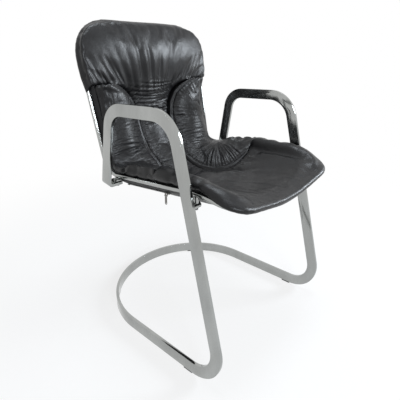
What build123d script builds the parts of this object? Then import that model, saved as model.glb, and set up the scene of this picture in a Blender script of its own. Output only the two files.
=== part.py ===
from build123d import *
import os
from math import asin, atan, cos, degrees, radians, sin, sqrt, tan

os.makedirs("parts", exist_ok=True)

# Driving dimensions of the steel frame, in millimetres and degrees.
# The frame stands on z = 0, faces -Y, and is the same on both sides of x = 0.
frame_width = 500.0
bar_width = 30.0
bar_thick = 8.0
glide_height = 4.0
glide_length = 30.0
glide_width = 7.0
loop_depth = 235.0
leg_foot_y = -275.25
leg_lean = 14.01
foot_radius = 72.0
leg_joint_height = 127.0
arm_height = 625.3
arm_fall = 2.18
arm_front_radius = 76.0
arm_rear_radius = 55.0
post_foot_y = 132.0
post_foot_drop = 14.1
post_lean = 9.48
tab_bend_radius = 10.0
tab_overhang = 10.0
joint_pin_dia = 5.0
joint_pin_length = 40.0
pin_clearance = 0.05

# Driving dimensions of the rod frame that holds the sling.
rail_dia = 10.0
rail_side_gap = 15.0
rail_taper = 8.0
rail_flare = 0.048
seat_corner_y = 169.8
seat_corner_height = 431.6
seat_rise = 5.47
back_rake = 12.42
seat_corner_radius = 50.0
bow_height = 826.0
bow_corner_radius = 87.0
bow_joint_x = 100.0
brow_radius = 150.0
front_bow_y = -275.0
front_corner_inset = 6.0
front_corner_drop = 14.75
front_joint_drop = 19.0
front_corner_radius = 55.0
bow_pin_dia = 5.0
bow_pin_depth = 15.0

# Mounts between the two frames.
stub_dia = 14.0
stub_drop = 25.75
stub_overhang = 9.0
spacer_dia = 11.0
spacer_seat = 1.0
barrel_length = 20.0
barrel_offset = 8.0
saddle_depth = 1.2
saddle_clearance = 0.5
mount_screw_dia = 5.0
mount_screw_hole = 5.3
mount_head_dia = 8.5
mount_head_height = 4.0
screw_grip = 3.5
stud_dia = 6.0
stud_depth = 5.0
stud_reach = 8.0

# Sling, in heights above the plane of the rods on the sitter's side.
sling_edge_rise = 7.5
sling_edge_reach = 5.0
back_sag = -45.0
seat_sag = -72.0
strap_gap = 2.0
strap_thick = 2.5
strap_width = 34.0
strap_end_gap = 18.0
strap_space = 10.0
strap_roll_gap = 4.1
tab_inset = 34.0
tab_width = 24.0
tab_thick = 2.0
tab_gap = 0.2
weld_gap = 0.05
rivet_inset = 26.0
rivet_dia = 4.8
rivet_head_dia = 8.0
rivet_head_height = 1.0
cover_gap = 9.4
cover_thick = 2.5
cover_edge_gap = 6.0
roll_dia = 22.0
roll_bore_gap = 0.3
roll_drop = 114.0
front_roll_inset = 57.0
seam_gap = 2.4
join_gap = 0.3

# Where the upper cushion meets the wings, and where the wings end on the seat.
pillow_rise = 163.0
wing_tip_y = -32.0
seat_front_gap = 18.0

# Zip under the left edge of the seat.
zip_inset = 26.0
zip_closed_y = -45.0
zip_open_y = 95.0
zip_gap = 0.6
tape_width = 12.0
tape_thick = 1.0
chain_width = 5.6
chain_height = 1.5
tooth_pitch = 3.5
tooth_length = 1.7
tooth_reach = 0.7
stop_length = 3.0
slider_length = 11.0
slider_wall = 1.1
slider_gap = 0.25
slider_plate = 1.4
bridge_height = 5.8
bridge_dia = 1.6
bridge_width = 3.0
pull_length = 27.0
pull_width = 7.0
pull_thick = 1.4
pull_eye_dia = 6.8
pull_eye_hole = 4.6
pull_hole = 3.4

# Values worked out from the driving dimensions.
# The loop reaches as far behind the origin as the seat's front roll reaches before it.
rear_reach = roll_dia / 2 - front_bow_y
outer_x = frame_width / 2
inner_x = outer_x - bar_thick
mid_x = outer_x - bar_thick / 2
bar_mid_height = glide_height + bar_width / 2
rail_radius = rail_dia / 2
rail_front_x = inner_x - rail_side_gap - rail_radius
rail_rear_x = rail_front_x - rail_taper
strap_half = rail_front_x - strap_end_gap
tab_start = rail_front_x - tab_inset
rivet_x = rail_front_x - rivet_inset
zip_x = rail_front_x - zip_inset
front_roll_end = rail_front_x - front_roll_inset
post_foot_height = seat_corner_height - post_foot_drop
pocket_height = bow_height - pillow_rise
roll_start_height = bow_height - roll_drop
leg_slope = tan(radians(leg_lean))
arm_slope = tan(radians(arm_fall))
post_slope = tan(radians(post_lean))
seat_slope = tan(radians(seat_rise))
back_slope = tan(radians(back_rake))

# The stub stands on the leaning leg, a set drop below the line of the seat rails.
seat_line_height = seat_corner_height + (seat_corner_y - leg_foot_y) * seat_slope
stub_height = (seat_line_height - stub_drop) / (1 + leg_slope * seat_slope)
stub_y = leg_foot_y + stub_height * leg_slope


def leg_y(height):
    return leg_foot_y + height * leg_slope


def back_y(height):
    return seat_corner_y + (height - seat_corner_height) * back_slope


def seat_height(y):
    return seat_corner_height + (seat_corner_y - y) * seat_slope


def back_rail_x(height):
    return rail_rear_x + (height - seat_corner_height) * rail_flare


def seat_rail_x(y):
    return rail_front_x - rail_taper * (y - stub_y) / (seat_corner_y - stub_y)


# Corners of the side frame, in its own Y and Z.
front_corner_y = (leg_foot_y + leg_slope * arm_height) / (1 + leg_slope * arm_slope)
front_corner = (front_corner_y, arm_height - arm_slope * front_corner_y)
rear_corner_y = post_foot_y - post_slope * (arm_height - post_foot_height)
rear_corner_y = rear_corner_y / (1 - post_slope * arm_slope)
rear_corner = (rear_corner_y, arm_height - arm_slope * rear_corner_y)
foot_corner = (leg_y(bar_mid_height), bar_mid_height)
leg_joint = (leg_y(leg_joint_height), leg_joint_height)
runner_end_y = rear_reach - loop_depth
post_up = Vector(0, -sin(radians(post_lean)), cos(radians(post_lean)))
post_foot = Vector(-mid_x, post_foot_y, post_foot_height)
post_end = post_foot + post_up * (2 * tab_bend_radius)
leg_up = Vector(0, sin(radians(leg_lean)), cos(radians(leg_lean)))
glide_y = foot_corner[0] + foot_radius * tan(radians(45 + leg_lean / 2)) + glide_length / 2

# Frame bars: the runner with its loop and foot bends, and one arm bar on each side.
with BuildPart() as base_runner:
    with BuildSketch(Plane.XY.offset(glide_height)):
        with BuildLine():
            Line((outer_x, glide_y), (outer_x, runner_end_y))
            EllipticalCenterArc((0, runner_end_y), outer_x, loop_depth, 0, arc_size=180)
            Line((-outer_x, runner_end_y), (-outer_x, glide_y))
            Line((-outer_x, glide_y), (-inner_x, glide_y))
            Line((-inner_x, glide_y), (-inner_x, runner_end_y))
            EllipticalCenterArc((0, runner_end_y), inner_x, loop_depth - bar_thick, 0, arc_size=180)
            Line((inner_x, runner_end_y), (inner_x, glide_y))
            Line((inner_x, glide_y), (outer_x, glide_y))
        make_face()
    extrude(amount=bar_width)
    for side_plane in (Plane.YZ.offset(-outer_x), Plane.YZ.offset(inner_x)):
        with BuildSketch(side_plane):
            with BuildLine():
                FilletPolyline((glide_y, bar_mid_height), foot_corner, leg_joint, radius=foot_radius)
            trace(line_width=bar_width)
        extrude(amount=bar_thick)
    for side in (-1, 1):
        joint_plane = Plane(origin=(side * mid_x, *leg_joint), z_dir=leg_up)
        with BuildSketch(joint_plane):
            Circle(joint_pin_dia / 2 + pin_clearance)
        extrude(amount=-joint_pin_length / 2, mode=Mode.SUBTRACT)
base_runner.part.label = "base_runner"
export_step(base_runner.part, "parts/base_runner.step")

# The tab's screw runs square to the tab and through the middle of the rail above it.
tab_width_dir = Vector(0, cos(radians(post_lean)), sin(radians(post_lean)))
tab_point = post_foot - tab_width_dir * barrel_offset
rail_lift = seat_height(tab_point.Y) - tab_point.Z
rail_lift = rail_lift / (post_up.Z + post_up.Y * seat_slope)
rear_rail_point = tab_point + post_up * rail_lift
rear_screw_x = seat_rail_x(rear_rail_point.Y)
tab_point = Vector(-rear_screw_x, tab_point.Y, tab_point.Z)
rear_rail_point = Vector(-rear_screw_x, rear_rail_point.Y, rear_rail_point.Z)
tab_length = mid_x - rear_screw_x + tab_overhang
tab_plane = Plane(origin=post_foot, x_dir=(1, 0, 0), z_dir=tab_width_dir * -1)

with BuildPart() as left_arm_bar:
    with BuildSketch(Plane.YZ.offset(-outer_x)):
        with BuildLine():
            arm_points = (leg_joint, front_corner, rear_corner, (post_end.Y, post_end.Z))
            FilletPolyline(*arm_points, radius=(arm_front_radius, arm_rear_radius))
        trace(line_width=bar_width)
    extrude(amount=bar_thick)
    with BuildSketch(tab_plane):
        with BuildLine():
            FilletPolyline((0, 2 * tab_bend_radius), (0, 0), (tab_length, 0), radius=tab_bend_radius)
        trace(line_width=bar_thick)
    extrude(amount=bar_width / 2, both=True)
    with BuildSketch(Plane(origin=tab_point, z_dir=post_up)):
        Circle(mount_screw_hole / 2)
    extrude(amount=bar_thick, both=True, mode=Mode.SUBTRACT)
    with BuildSketch(Plane(origin=(-mid_x, *leg_joint), z_dir=leg_up)):
        Circle(joint_pin_dia / 2 + pin_clearance)
    extrude(amount=joint_pin_length / 2, mode=Mode.SUBTRACT)
    with BuildSketch(Plane.YZ.offset(-inner_x)):
        with Locations((stub_y, stub_height)):
            Circle(stud_dia / 2 + pin_clearance)
    extrude(amount=-stud_depth, mode=Mode.SUBTRACT)
left_arm_bar.part.label = "left_arm_bar"
export_step(left_arm_bar.part, "parts/left_arm_bar.step")

with BuildPart() as right_arm_bar:
    mirror(left_arm_bar.part, about=Plane.YZ)
right_arm_bar.part.label = "right_arm_bar"
export_step(right_arm_bar.part, "parts/right_arm_bar.step")

with BuildPart() as leg_joint_pins:
    for side in (-1, 1):
        with BuildSketch(Plane(origin=(side * mid_x, *leg_joint), z_dir=leg_up)):
            Circle(joint_pin_dia / 2)
        extrude(amount=joint_pin_length / 2 - pin_clearance, both=True)
leg_joint_pins.part.label = "leg_joint_pins"
export_step(leg_joint_pins.part, "parts/leg_joint_pins.step")

# Glides: a pair under the front ends of the runners and a pair under the loop.
with BuildPart() as front_glides:
    with BuildSketch(Plane.XY):
        with Locations((-mid_x, glide_y), (mid_x, glide_y)):
            SlotOverall(glide_length, glide_width, rotation=90)
    extrude(amount=glide_height)
front_glides.part.label = "front_glides"
export_step(front_glides.part, "parts/front_glides.step")

loop_spot = 45.0
loop_mid_depth = loop_depth - bar_thick / 2
with BuildPart() as rear_glides:
    for angle in (loop_spot, 180 - loop_spot):
        spot_x = mid_x * cos(radians(angle))
        spot_y = runner_end_y + loop_mid_depth * sin(radians(angle))
        tangent = degrees(atan(-loop_mid_depth * spot_x / (mid_x * (spot_y - runner_end_y))))
        with BuildSketch(Plane.XY):
            with Locations((spot_x, spot_y)):
                SlotOverall(glide_length, glide_width, rotation=tangent)
        extrude(amount=glide_height)
rear_glides.part.label = "rear_glides"
export_step(rear_glides.part, "parts/rear_glides.step")

# Rod frame: two side rails joined by a straight top bow and a sagging front bow.
brow_height = seat_height(stub_y)
front_corner_x = rail_front_x - front_corner_inset
front_corner_height = brow_height - front_corner_drop
front_joint_height = front_corner_height - front_joint_drop
bow_slope = (front_corner_height - front_joint_height) / (front_corner_x - bow_joint_x)
bow_arc_radius = bow_joint_x / sin(atan(bow_slope))
bow_middle_height = front_joint_height - bow_arc_radius * (1 - cos(atan(bow_slope)))
bow_corner_x = back_rail_x(bow_height)
top_joint = Vector(bow_joint_x, back_y(bow_height), bow_height)
front_joint = Vector(bow_joint_x, front_bow_y, front_joint_height)
front_bow_dir = Vector(1, 0, bow_slope).normalized()
rail_points = (
    top_joint,
    Vector(bow_corner_x, back_y(bow_height), bow_height),
    Vector(rail_rear_x, seat_corner_y, seat_corner_height),
    Vector(rail_front_x, stub_y, brow_height),
    Vector(front_corner_x, front_bow_y, front_corner_height),
    front_joint,
)
rail_radii = (bow_corner_radius, seat_corner_radius, brow_radius, front_corner_radius)
brow_fall = (brow_height - front_corner_height) / (stub_y - front_bow_y)
brow_turn = atan(seat_slope) + atan(brow_fall)
front_rail_height = brow_height - brow_radius * (1 / cos(brow_turn / 2) - 1)

with BuildPart() as right_side_rail:
    with BuildLine():
        FilletPolyline(*rail_points, radius=rail_radii)
    with BuildSketch(Plane(origin=top_joint, z_dir=(1, 0, 0))):
        Circle(rail_radius)
    sweep()
    with BuildSketch(Plane(origin=top_joint, z_dir=(1, 0, 0))):
        Circle(bow_pin_dia / 2 + pin_clearance)
    extrude(amount=bow_pin_depth, mode=Mode.SUBTRACT)
    with BuildSketch(Plane(origin=front_joint, z_dir=front_bow_dir)):
        Circle(bow_pin_dia / 2 + pin_clearance)
    extrude(amount=bow_pin_depth, mode=Mode.SUBTRACT)
    rear_thread = Vector(rear_screw_x, rear_rail_point.Y, rear_rail_point.Z)
    with BuildSketch(Plane(origin=rear_thread, z_dir=post_up)):
        Circle(mount_screw_dia / 2 + pin_clearance)
    extrude(amount=-rail_dia, mode=Mode.SUBTRACT)
    front_thread = Vector(rail_front_x, stub_y, front_rail_height)
    with BuildSketch(Plane(origin=front_thread, z_dir=(0, 0, 1))):
        Circle(mount_screw_dia / 2 + pin_clearance)
    extrude(amount=-rail_dia, mode=Mode.SUBTRACT)
right_side_rail.part.label = "right_side_rail"
export_step(right_side_rail.part, "parts/right_side_rail.step")

with BuildPart() as left_side_rail:
    mirror(right_side_rail.part, about=Plane.YZ)
left_side_rail.part.label = "left_side_rail"
export_step(left_side_rail.part, "parts/left_side_rail.step")

with BuildPart() as top_bow:
    with BuildSketch(Plane(origin=(-bow_joint_x, top_joint.Y, top_joint.Z), z_dir=(1, 0, 0))):
        Circle(rail_radius)
    extrude(amount=2 * bow_joint_x)
    for side in (-1, 1):
        end = (side * bow_joint_x, top_joint.Y, top_joint.Z)
        with BuildSketch(Plane(origin=end, z_dir=(-side, 0, 0))):
            Circle(bow_pin_dia / 2 + pin_clearance)
        extrude(amount=bow_pin_depth, mode=Mode.SUBTRACT)
top_bow.part.label = "top_bow"
export_step(top_bow.part, "parts/top_bow.step")

front_joint_left = Vector(-bow_joint_x, front_bow_y, front_joint_height)
front_middle = Vector(0, front_bow_y, bow_middle_height)
front_bow_dir_left = Vector(-front_bow_dir.X, 0, front_bow_dir.Z)
with BuildPart() as front_bow:
    with BuildLine():
        ThreePointArc(front_joint_left, front_middle, front_joint)
    with BuildSketch(Plane(origin=front_joint_left, z_dir=front_bow_dir_left * -1)):
        Circle(rail_radius)
    sweep()
    for end, outward in ((front_joint, front_bow_dir), (front_joint_left, front_bow_dir_left)):
        with BuildSketch(Plane(origin=end, z_dir=outward * -1)):
            Circle(bow_pin_dia / 2 + pin_clearance)
        extrude(amount=bow_pin_depth, mode=Mode.SUBTRACT)
front_bow.part.label = "front_bow"
export_step(front_bow.part, "parts/front_bow.step")

with BuildPart() as bow_pins:
    pin_spots = (
        (top_joint, Vector(1, 0, 0)),
        (Vector(-bow_joint_x, top_joint.Y, top_joint.Z), Vector(-1, 0, 0)),
        (front_joint, front_bow_dir),
        (front_joint_left, front_bow_dir_left),
    )
    for spot, direction in pin_spots:
        with BuildSketch(Plane(origin=spot, z_dir=direction)):
            Circle(bow_pin_dia / 2)
        extrude(amount=bow_pin_depth - pin_clearance, both=True)
bow_pins.part.label = "bow_pins"
export_step(bow_pins.part, "parts/bow_pins.step")

# Rear mounts: a barrel lies across each tab and carries the rail in a saddle.
barrel_gap = rail_lift - bar_thick / 2 - rail_radius + saddle_depth
barrel_radius = barrel_gap / 2
with BuildPart() as rear_barrels:
    for side in (-1, 1):
        seat_point = Vector(side * rear_screw_x, tab_point.Y, tab_point.Z)
        rail_point = Vector(side * rear_screw_x, rear_rail_point.Y, rear_rail_point.Z)
        barrel_axis = seat_point + post_up * (bar_thick / 2 + barrel_radius)
        with BuildSketch(Plane(origin=barrel_axis, z_dir=(1, 0, 0))):
            Circle(barrel_radius)
        extrude(amount=barrel_length / 2, both=True)
        rail_dir = Vector(0, -cos(radians(seat_rise)), sin(radians(seat_rise)))
        with BuildSketch(Plane(origin=rail_point, z_dir=rail_dir)):
            Circle(rail_radius + saddle_clearance)
        extrude(amount=barrel_length, both=True, mode=Mode.SUBTRACT)
        with BuildSketch(Plane(origin=seat_point, z_dir=post_up)):
            Circle(mount_screw_hole / 2)
        extrude(amount=rail_lift, mode=Mode.SUBTRACT)
rear_barrels.part.label = "rear_barrels"
export_step(rear_barrels.part, "parts/rear_barrels.step")

with BuildPart() as rear_mount_screws:
    for side in (-1, 1):
        seat_point = Vector(side * rear_screw_x, tab_point.Y, tab_point.Z)
        head_point = seat_point - post_up * (bar_thick / 2)
        with BuildSketch(Plane(origin=head_point, z_dir=post_up)):
            Circle(mount_screw_dia / 2)
        extrude(amount=bar_thick / 2 + rail_lift - rail_radius + screw_grip)
        with BuildSketch(Plane(origin=head_point, z_dir=post_up)):
            Circle(mount_head_dia / 2)
        extrude(amount=-mount_head_height)
rear_mount_screws.part.label = "rear_mount_screws"
export_step(rear_mount_screws.part, "parts/rear_mount_screws.step")

# Front mounts: a stub stands out of each leg, and a spacer on it carries the rail.
stub_end_x = rail_front_x - stub_overhang
stub_flat = stub_dia / 2 - spacer_seat
with BuildPart() as front_stubs:
    for side in (-1, 1):
        with BuildSketch(Plane(origin=(side * inner_x, stub_y, stub_height), z_dir=(-side, 0, 0))):
            Circle(stub_dia / 2)
        extrude(amount=inner_x - stub_end_x)
        with BuildSketch(Plane(origin=(side * inner_x, stub_y, stub_height), z_dir=(-side, 0, 0))):
            Circle(stud_dia / 2 + pin_clearance)
        extrude(amount=stud_reach, mode=Mode.SUBTRACT)
        for flat in (stub_flat, -stub_flat):
            flat_plane = Plane.XY.offset(stub_height + flat)
            with BuildSketch(flat_plane):
                with Locations((side * rail_front_x, stub_y)):
                    Circle(spacer_dia / 2 + pin_clearance)
            extrude(amount=stub_dia if flat > 0 else -stub_dia, mode=Mode.SUBTRACT)
        with BuildSketch(Plane.XY.offset(stub_height)):
            with Locations((side * rail_front_x, stub_y)):
                Circle(mount_screw_hole / 2)
        extrude(amount=stub_dia, both=True, mode=Mode.SUBTRACT)
front_stubs.part.label = "front_stubs"
export_step(front_stubs.part, "parts/front_stubs.step")

with BuildPart() as stub_studs:
    for side in (-1, 1):
        with BuildSketch(Plane(origin=(side * inner_x, stub_y, stub_height), z_dir=(-side, 0, 0))):
            Circle(stud_dia / 2)
        extrude(amount=stud_reach - pin_clearance)
        with BuildSketch(Plane(origin=(side * inner_x, stub_y, stub_height), z_dir=(side, 0, 0))):
            Circle(stud_dia / 2)
        extrude(amount=stud_depth - pin_clearance)
stub_studs.part.label = "stub_studs"
export_step(stub_studs.part, "parts/stub_studs.step")

spacer_top = front_rail_height - rail_radius + saddle_depth
with BuildPart() as front_spacers:
    for side in (-1, 1):
        with BuildSketch(Plane.XY.offset(stub_height + stub_flat)):
            with Locations((side * rail_front_x, stub_y)):
                Circle(spacer_dia / 2)
                Circle(mount_screw_hole / 2, mode=Mode.SUBTRACT)
        extrude(amount=spacer_top - stub_height - stub_flat)
        with BuildSketch(Plane(origin=(side * rail_front_x, stub_y, front_rail_height), z_dir=(0, 1, 0))):
            Circle(rail_radius + saddle_clearance)
        extrude(amount=spacer_dia, both=True, mode=Mode.SUBTRACT)
front_spacers.part.label = "front_spacers"
export_step(front_spacers.part, "parts/front_spacers.step")

with BuildPart() as front_mount_screws:
    for side in (-1, 1):
        with BuildSketch(Plane.XY.offset(stub_height - stub_flat)):
            with Locations((side * rail_front_x, stub_y)):
                Circle(mount_screw_dia / 2)
        extrude(amount=stub_flat + front_rail_height - stub_height - rail_radius + screw_grip)
        with BuildSketch(Plane.XY.offset(stub_height - stub_flat)):
            with Locations((side * rail_front_x, stub_y)):
                Circle(mount_head_dia / 2)
        extrude(amount=-mount_head_height)
front_mount_screws.part.label = "front_mount_screws"
export_step(front_mount_screws.part, "parts/front_mount_screws.step")

# Planes across the sling: square to the back line, round the corner and square to the seat line.
# In each plane x runs across the seat and y stands off the rods towards the sitter.
rake = radians(back_rake)
rise = radians(seat_rise)
corner_half_turn = (radians(90) - rake + rise) / 2
corner_tangent = seat_corner_radius * tan(corner_half_turn)
bend_top_height = seat_corner_height + corner_tangent * cos(rake)
bend_front_y = seat_corner_y - corner_tangent * cos(rise)
bend_centre_y = bend_front_y + seat_corner_radius * sin(rise)
bend_centre_z = seat_height(bend_front_y) + seat_corner_radius * cos(rise)


def back_plane(height):
    return Plane(origin=(0, back_y(height), height), x_dir=(1, 0, 0), z_dir=(0, -sin(rake), -cos(rake)))


def bend_plane(share):
    angle = (radians(180) - rake) * (1 - share) + (radians(90) - rise) * share
    y = bend_centre_y - seat_corner_radius * cos(angle)
    z = bend_centre_z - seat_corner_radius * sin(angle)
    return Plane(origin=(0, y, z), x_dir=(1, 0, 0), z_dir=(0, -sin(angle), cos(angle)))


def seat_plane(y):
    return Plane(origin=(0, y, seat_height(y)), x_dir=(1, 0, 0), z_dir=(0, -cos(rise), sin(rise)))


def rod_x(plane):
    if plane.origin.Z > bend_top_height - seam_gap and plane.origin.Y > bend_front_y:
        return back_rail_x(plane.origin.Z)
    return seat_rail_x(min(plane.origin.Y, seat_corner_y))


def rod_dir(plane):
    if plane.origin.Z > bend_top_height - seam_gap and plane.origin.Y > bend_front_y:
        return Vector(rail_flare, back_slope, 1)
    return Vector(-rail_taper / (seat_corner_y - stub_y), 1, -seat_slope)


# The sling's own curve in such a plane: an arc over both rods that sags to a depth at the middle.
sling_edge = rail_radius + sling_edge_rise


def sling_radius(rod, sag):
    depth = sling_edge - sag
    return ((rod + sling_edge_reach) ** 2 + depth**2) / (2 * depth)


def sling_height(x, rod, sag):
    radius = sling_radius(rod, sag)
    return sag + radius - sqrt(radius**2 - x**2)


def pillow_face(plane, half, low_edge, low_middle, top_edge, top_middle):
    # A full-width slice with rounded sides and a crowned front.
    swell = 0.2 * (top_edge - low_edge)
    waist = (low_edge + top_edge) / 2
    with BuildSketch(plane) as outline:
        with BuildLine():
            ThreePointArc((-half, low_edge), (0, low_middle), (half, low_edge))
            ThreePointArc((half, low_edge), (half + swell, waist), (half, top_edge))
            ThreePointArc((half, top_edge), (0, top_middle), (-half, top_edge))
            ThreePointArc((-half, top_edge), (-half - swell, waist), (-half, low_edge))
        make_face()
    return outline.sketch.face()


def bucket_face(plane, half, low_edge, low_middle, rim, top_middle):
    # A full-width slice with a rounded rim on each side and a dished middle.
    side_top = low_edge + 0.5 * (rim - low_edge)
    crest = 0.93 * half
    dish_start = 0.8 * half
    dish_edge = top_middle + 0.7 * (rim - top_middle)
    swell = 0.1 * (rim - low_edge)
    side_middle = (low_edge + side_top) / 2
    with BuildSketch(plane) as outline:
        with BuildLine():
            ThreePointArc((-half, low_edge), (0, low_middle), (half, low_edge))
            ThreePointArc((half, low_edge), (half + swell, side_middle), (half, side_top))
            ThreePointArc((half, side_top), (crest, rim), (dish_start, dish_edge))
            ThreePointArc((dish_start, dish_edge), (0, top_middle), (-dish_start, dish_edge))
            ThreePointArc((-dish_start, dish_edge), (-crest, rim), (-half, side_top))
            ThreePointArc((-half, side_top), (-half - swell, side_middle), (-half, low_edge))
        make_face()
    return outline.sketch.face()


def panel_face(plane, seam_x, sag, seam, middle):
    # A slice of the narrow middle panel, from seam to seam.
    half = seam_x - seam_gap / 2
    low = sling_height(half, rod_x(plane), sag)
    with BuildSketch(plane) as outline:
        with BuildLine():
            ThreePointArc((-half, low), (0, sag), (half, low))
            Line((half, low), (half, seam))
            ThreePointArc((half, seam), (0, middle), (-half, seam))
            Line((-half, seam), (-half, low))
        make_face()
    return outline.sketch.face()


def wing_face(plane, seam_x, sag, seam, inset, edge, swell):
    # A slice of the right wing, from its seam to its outer edge.
    rod = rod_x(plane)
    inner = seam_x + seam_gap / 2
    outer = rod - inset
    centre = (inner + outer) / 2
    crest = (seam + edge) / 2 + swell
    with BuildSketch(plane) as outline:
        with BuildLine():
            low_inner = (inner, sling_height(inner, rod, sag))
            low_outer = (outer, sling_height(outer, rod, sag))
            ThreePointArc(low_inner, (centre, sling_height(centre, rod, sag)), low_outer)
            Line(low_outer, (outer, edge))
            ThreePointArc((outer, edge), (centre, crest), (inner, seam))
            Line((inner, seam), low_inner)
        make_face()
    return outline.sketch.face()


def skin_face(plane, half, edge, middle):
    # A slice of a thin leather skin that follows the sling.
    low_edge = edge - cover_thick
    with BuildSketch(plane) as outline:
        with BuildLine():
            ThreePointArc((-half, edge), (0, middle), (half, edge))
            Line((half, edge), (half, low_edge))
            ThreePointArc((half, low_edge), (0, middle - cover_thick), (-half, low_edge))
            Line((-half, low_edge), (-half, edge))
        make_face()
    return outline.sketch.face()


# Upper back cushion: each slice is a share of the way from the pocket to the bow, with its width
# short of the rod's, and the heights of its low edge, low middle, top edge and top middle.
roll_radius = roll_dia / 2
pillow_slices = (
    (0.0, 1.5, 12.0, -44.0, 24.0, 6.0),
    (0.075, -2.0, 14.0, -40.0, 25.0, 10.0),
    (0.23, -5.0, 16.0, -31.5, 26.0, 20.0),
    (0.47, -5.0, 16.0, -18.5, 26.0, 30.0),
    (0.72, 4.5, 16.0, -4.5, 25.0, 33.0),
    (0.88, 27.0, 15.0, 5.0, 24.0, 31.0),
    (0.975, 62.0, 13.0, 12.5, 20.0, 25.0),
    (1.035, 101.0, 11.2, 11.0, 14.0, 16.0),
)
pillow_base = pocket_height + join_gap
pillow_faces = []
for share, inset, low_edge, low_middle, top_edge, top_middle in pillow_slices:
    height = pillow_base + share * (bow_height - pillow_base)
    half = back_rail_x(height) - inset
    pillow_faces.append(pillow_face(back_plane(height), half, low_edge, low_middle, top_edge, top_middle))
with BuildPart() as back_cushion:
    loft(pillow_faces)
back_cushion.part.label = "back_cushion"
export_step(back_cushion.part, "parts/back_cushion.step")

# The hourglass seam: for each plane, the sling's sag, the seam's distance from the middle and its
# height, the panel's height at the middle, and the wing's outer inset from the rod, edge and swell.
# The distances from the middle are for rods that are seam_rod_x from it, and scale with the frame.
seam_rod_x = 222.0
seam_scale = rail_front_x / seam_rod_x
wing_span = pocket_height - bend_top_height
seat_run = bend_front_y - wing_tip_y
seam_slices = (
    (back_plane(bend_top_height + wing_span), back_sag, 160.0, 24.0, 9.0, 12.0, 24.0, 12.0),
    (back_plane(bend_top_height + 0.93 * wing_span), back_sag, 122.0, 6.0, 4.5, 13.0, 22.0, 24.0),
    (back_plane(bend_top_height + 0.83 * wing_span), back_sag, 94.0, -6.0, 0.0, 15.0, 18.0, 29.0),
    (back_plane(bend_top_height + 0.66 * wing_span), back_sag, 73.0, -12.0, -5.0, 15.0, 14.0, 32.0),
    (back_plane(bend_top_height + 0.45 * wing_span), back_sag, 65.0, -15.0, -8.0, 13.0, 13.0, 31.0),
    (back_plane(bend_top_height + 0.22 * wing_span), back_sag, 63.0, -10.0, -4.0, 11.0, 14.0, 28.0),
    (bend_plane(0.0), -47.0, 60.0, 2.0, 8.0, 9.0, 17.0, 20.0),
    (bend_plane(0.35), -53.0, 57.0, 8.0, 13.0, 8.0, 18.0, 15.0),
    (bend_plane(0.7), -62.0, 55.0, 6.0, 11.0, 6.0, 19.0, 14.0),
    (bend_plane(1.0), -68.0, 56.0, -7.0, -3.0, 5.0, 21.0, 14.0),
    (seat_plane(bend_front_y - 0.15 * seat_run), -71.0, 60.0, -24.0, -20.0, 3.0, 27.0, 13.0),
    (seat_plane(bend_front_y - 0.33 * seat_run), seat_sag, 65.0, -36.0, -32.0, 0.0, 36.0, 10.0),
    (seat_plane(bend_front_y - 0.54 * seat_run), seat_sag, 80.0, -43.0, -39.0, -1.5, 42.0, 9.0),
    (seat_plane(bend_front_y - 0.73 * seat_run), seat_sag, 101.0, -41.0, -43.0, -2.5, 43.0, 9.0),
    (seat_plane(bend_front_y - 0.88 * seat_run), seat_sag, 127.0, -30.0, -45.0, -3.0, 43.0, 9.0),
    (seat_plane(bend_front_y - 0.95 * seat_run), seat_sag, 146.0, -18.0, -46.0, -3.3, 43.0, 8.0),
    (seat_plane(bend_front_y - seat_run), seat_sag, 166.0, -5.0, -47.0, -3.5, 43.0, 7.0),
)
panel_faces = []
wing_faces = []
for plane, sag, seam_x, seam, middle, inset, edge, swell in seam_slices:
    panel_faces.append(panel_face(plane, seam_scale * seam_x, sag, seam, middle))
    wing_faces.append(wing_face(plane, seam_scale * seam_x, sag, seam, inset, edge, swell))
with BuildPart() as waist_panel:
    loft(panel_faces)
waist_panel.part.label = "waist_panel"
export_step(waist_panel.part, "parts/waist_panel.step")

with BuildPart() as right_wing:
    loft(wing_faces)
right_wing.part.label = "right_wing"
export_step(right_wing.part, "parts/right_wing.step")

with BuildPart() as left_wing:
    mirror(right_wing.part, about=Plane.YZ)
left_wing.part.label = "left_wing"
export_step(left_wing.part, "parts/left_wing.step")

# Seat cushion: each slice is a share of the way from the wing tips to the front roll, with its
# reach past the rod, and the heights of its low edge, low middle, rim and top middle.
cushion_rear_y = wing_tip_y - join_gap
cushion_run = cushion_rear_y - (front_bow_y + seat_front_gap)
seat_slices = (
    (0.0, 5.0, 15.5, -71.0, 42.5, -47.0),
    (0.24, 5.5, 15.0, -70.5, 40.5, -49.5),
    (0.48, 6.0, 14.0, -70.0, 34.5, -48.7),
    (0.69, 5.5, 8.0, -70.0, 27.0, -46.0),
    (0.82, 1.0, 0.0, -68.0, 17.0, -42.0),
    (0.925, -11.0, -8.0, -63.0, 5.0, -39.0),
    (1.0, -36.0, -18.0, -58.0, -6.0, -37.5),
)
seat_faces = []
for share, reach, low_edge, low_middle, rim, top_middle in seat_slices:
    plane = seat_plane(cushion_rear_y - share * cushion_run)
    seat_faces.append(bucket_face(plane, rail_front_x + reach, low_edge, low_middle, rim, top_middle))
with BuildPart() as seat_cushion:
    loft(seat_faces)
seat_cushion.part.label = "seat_cushion"
export_step(seat_cushion.part, "parts/seat_cushion.step")

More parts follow.
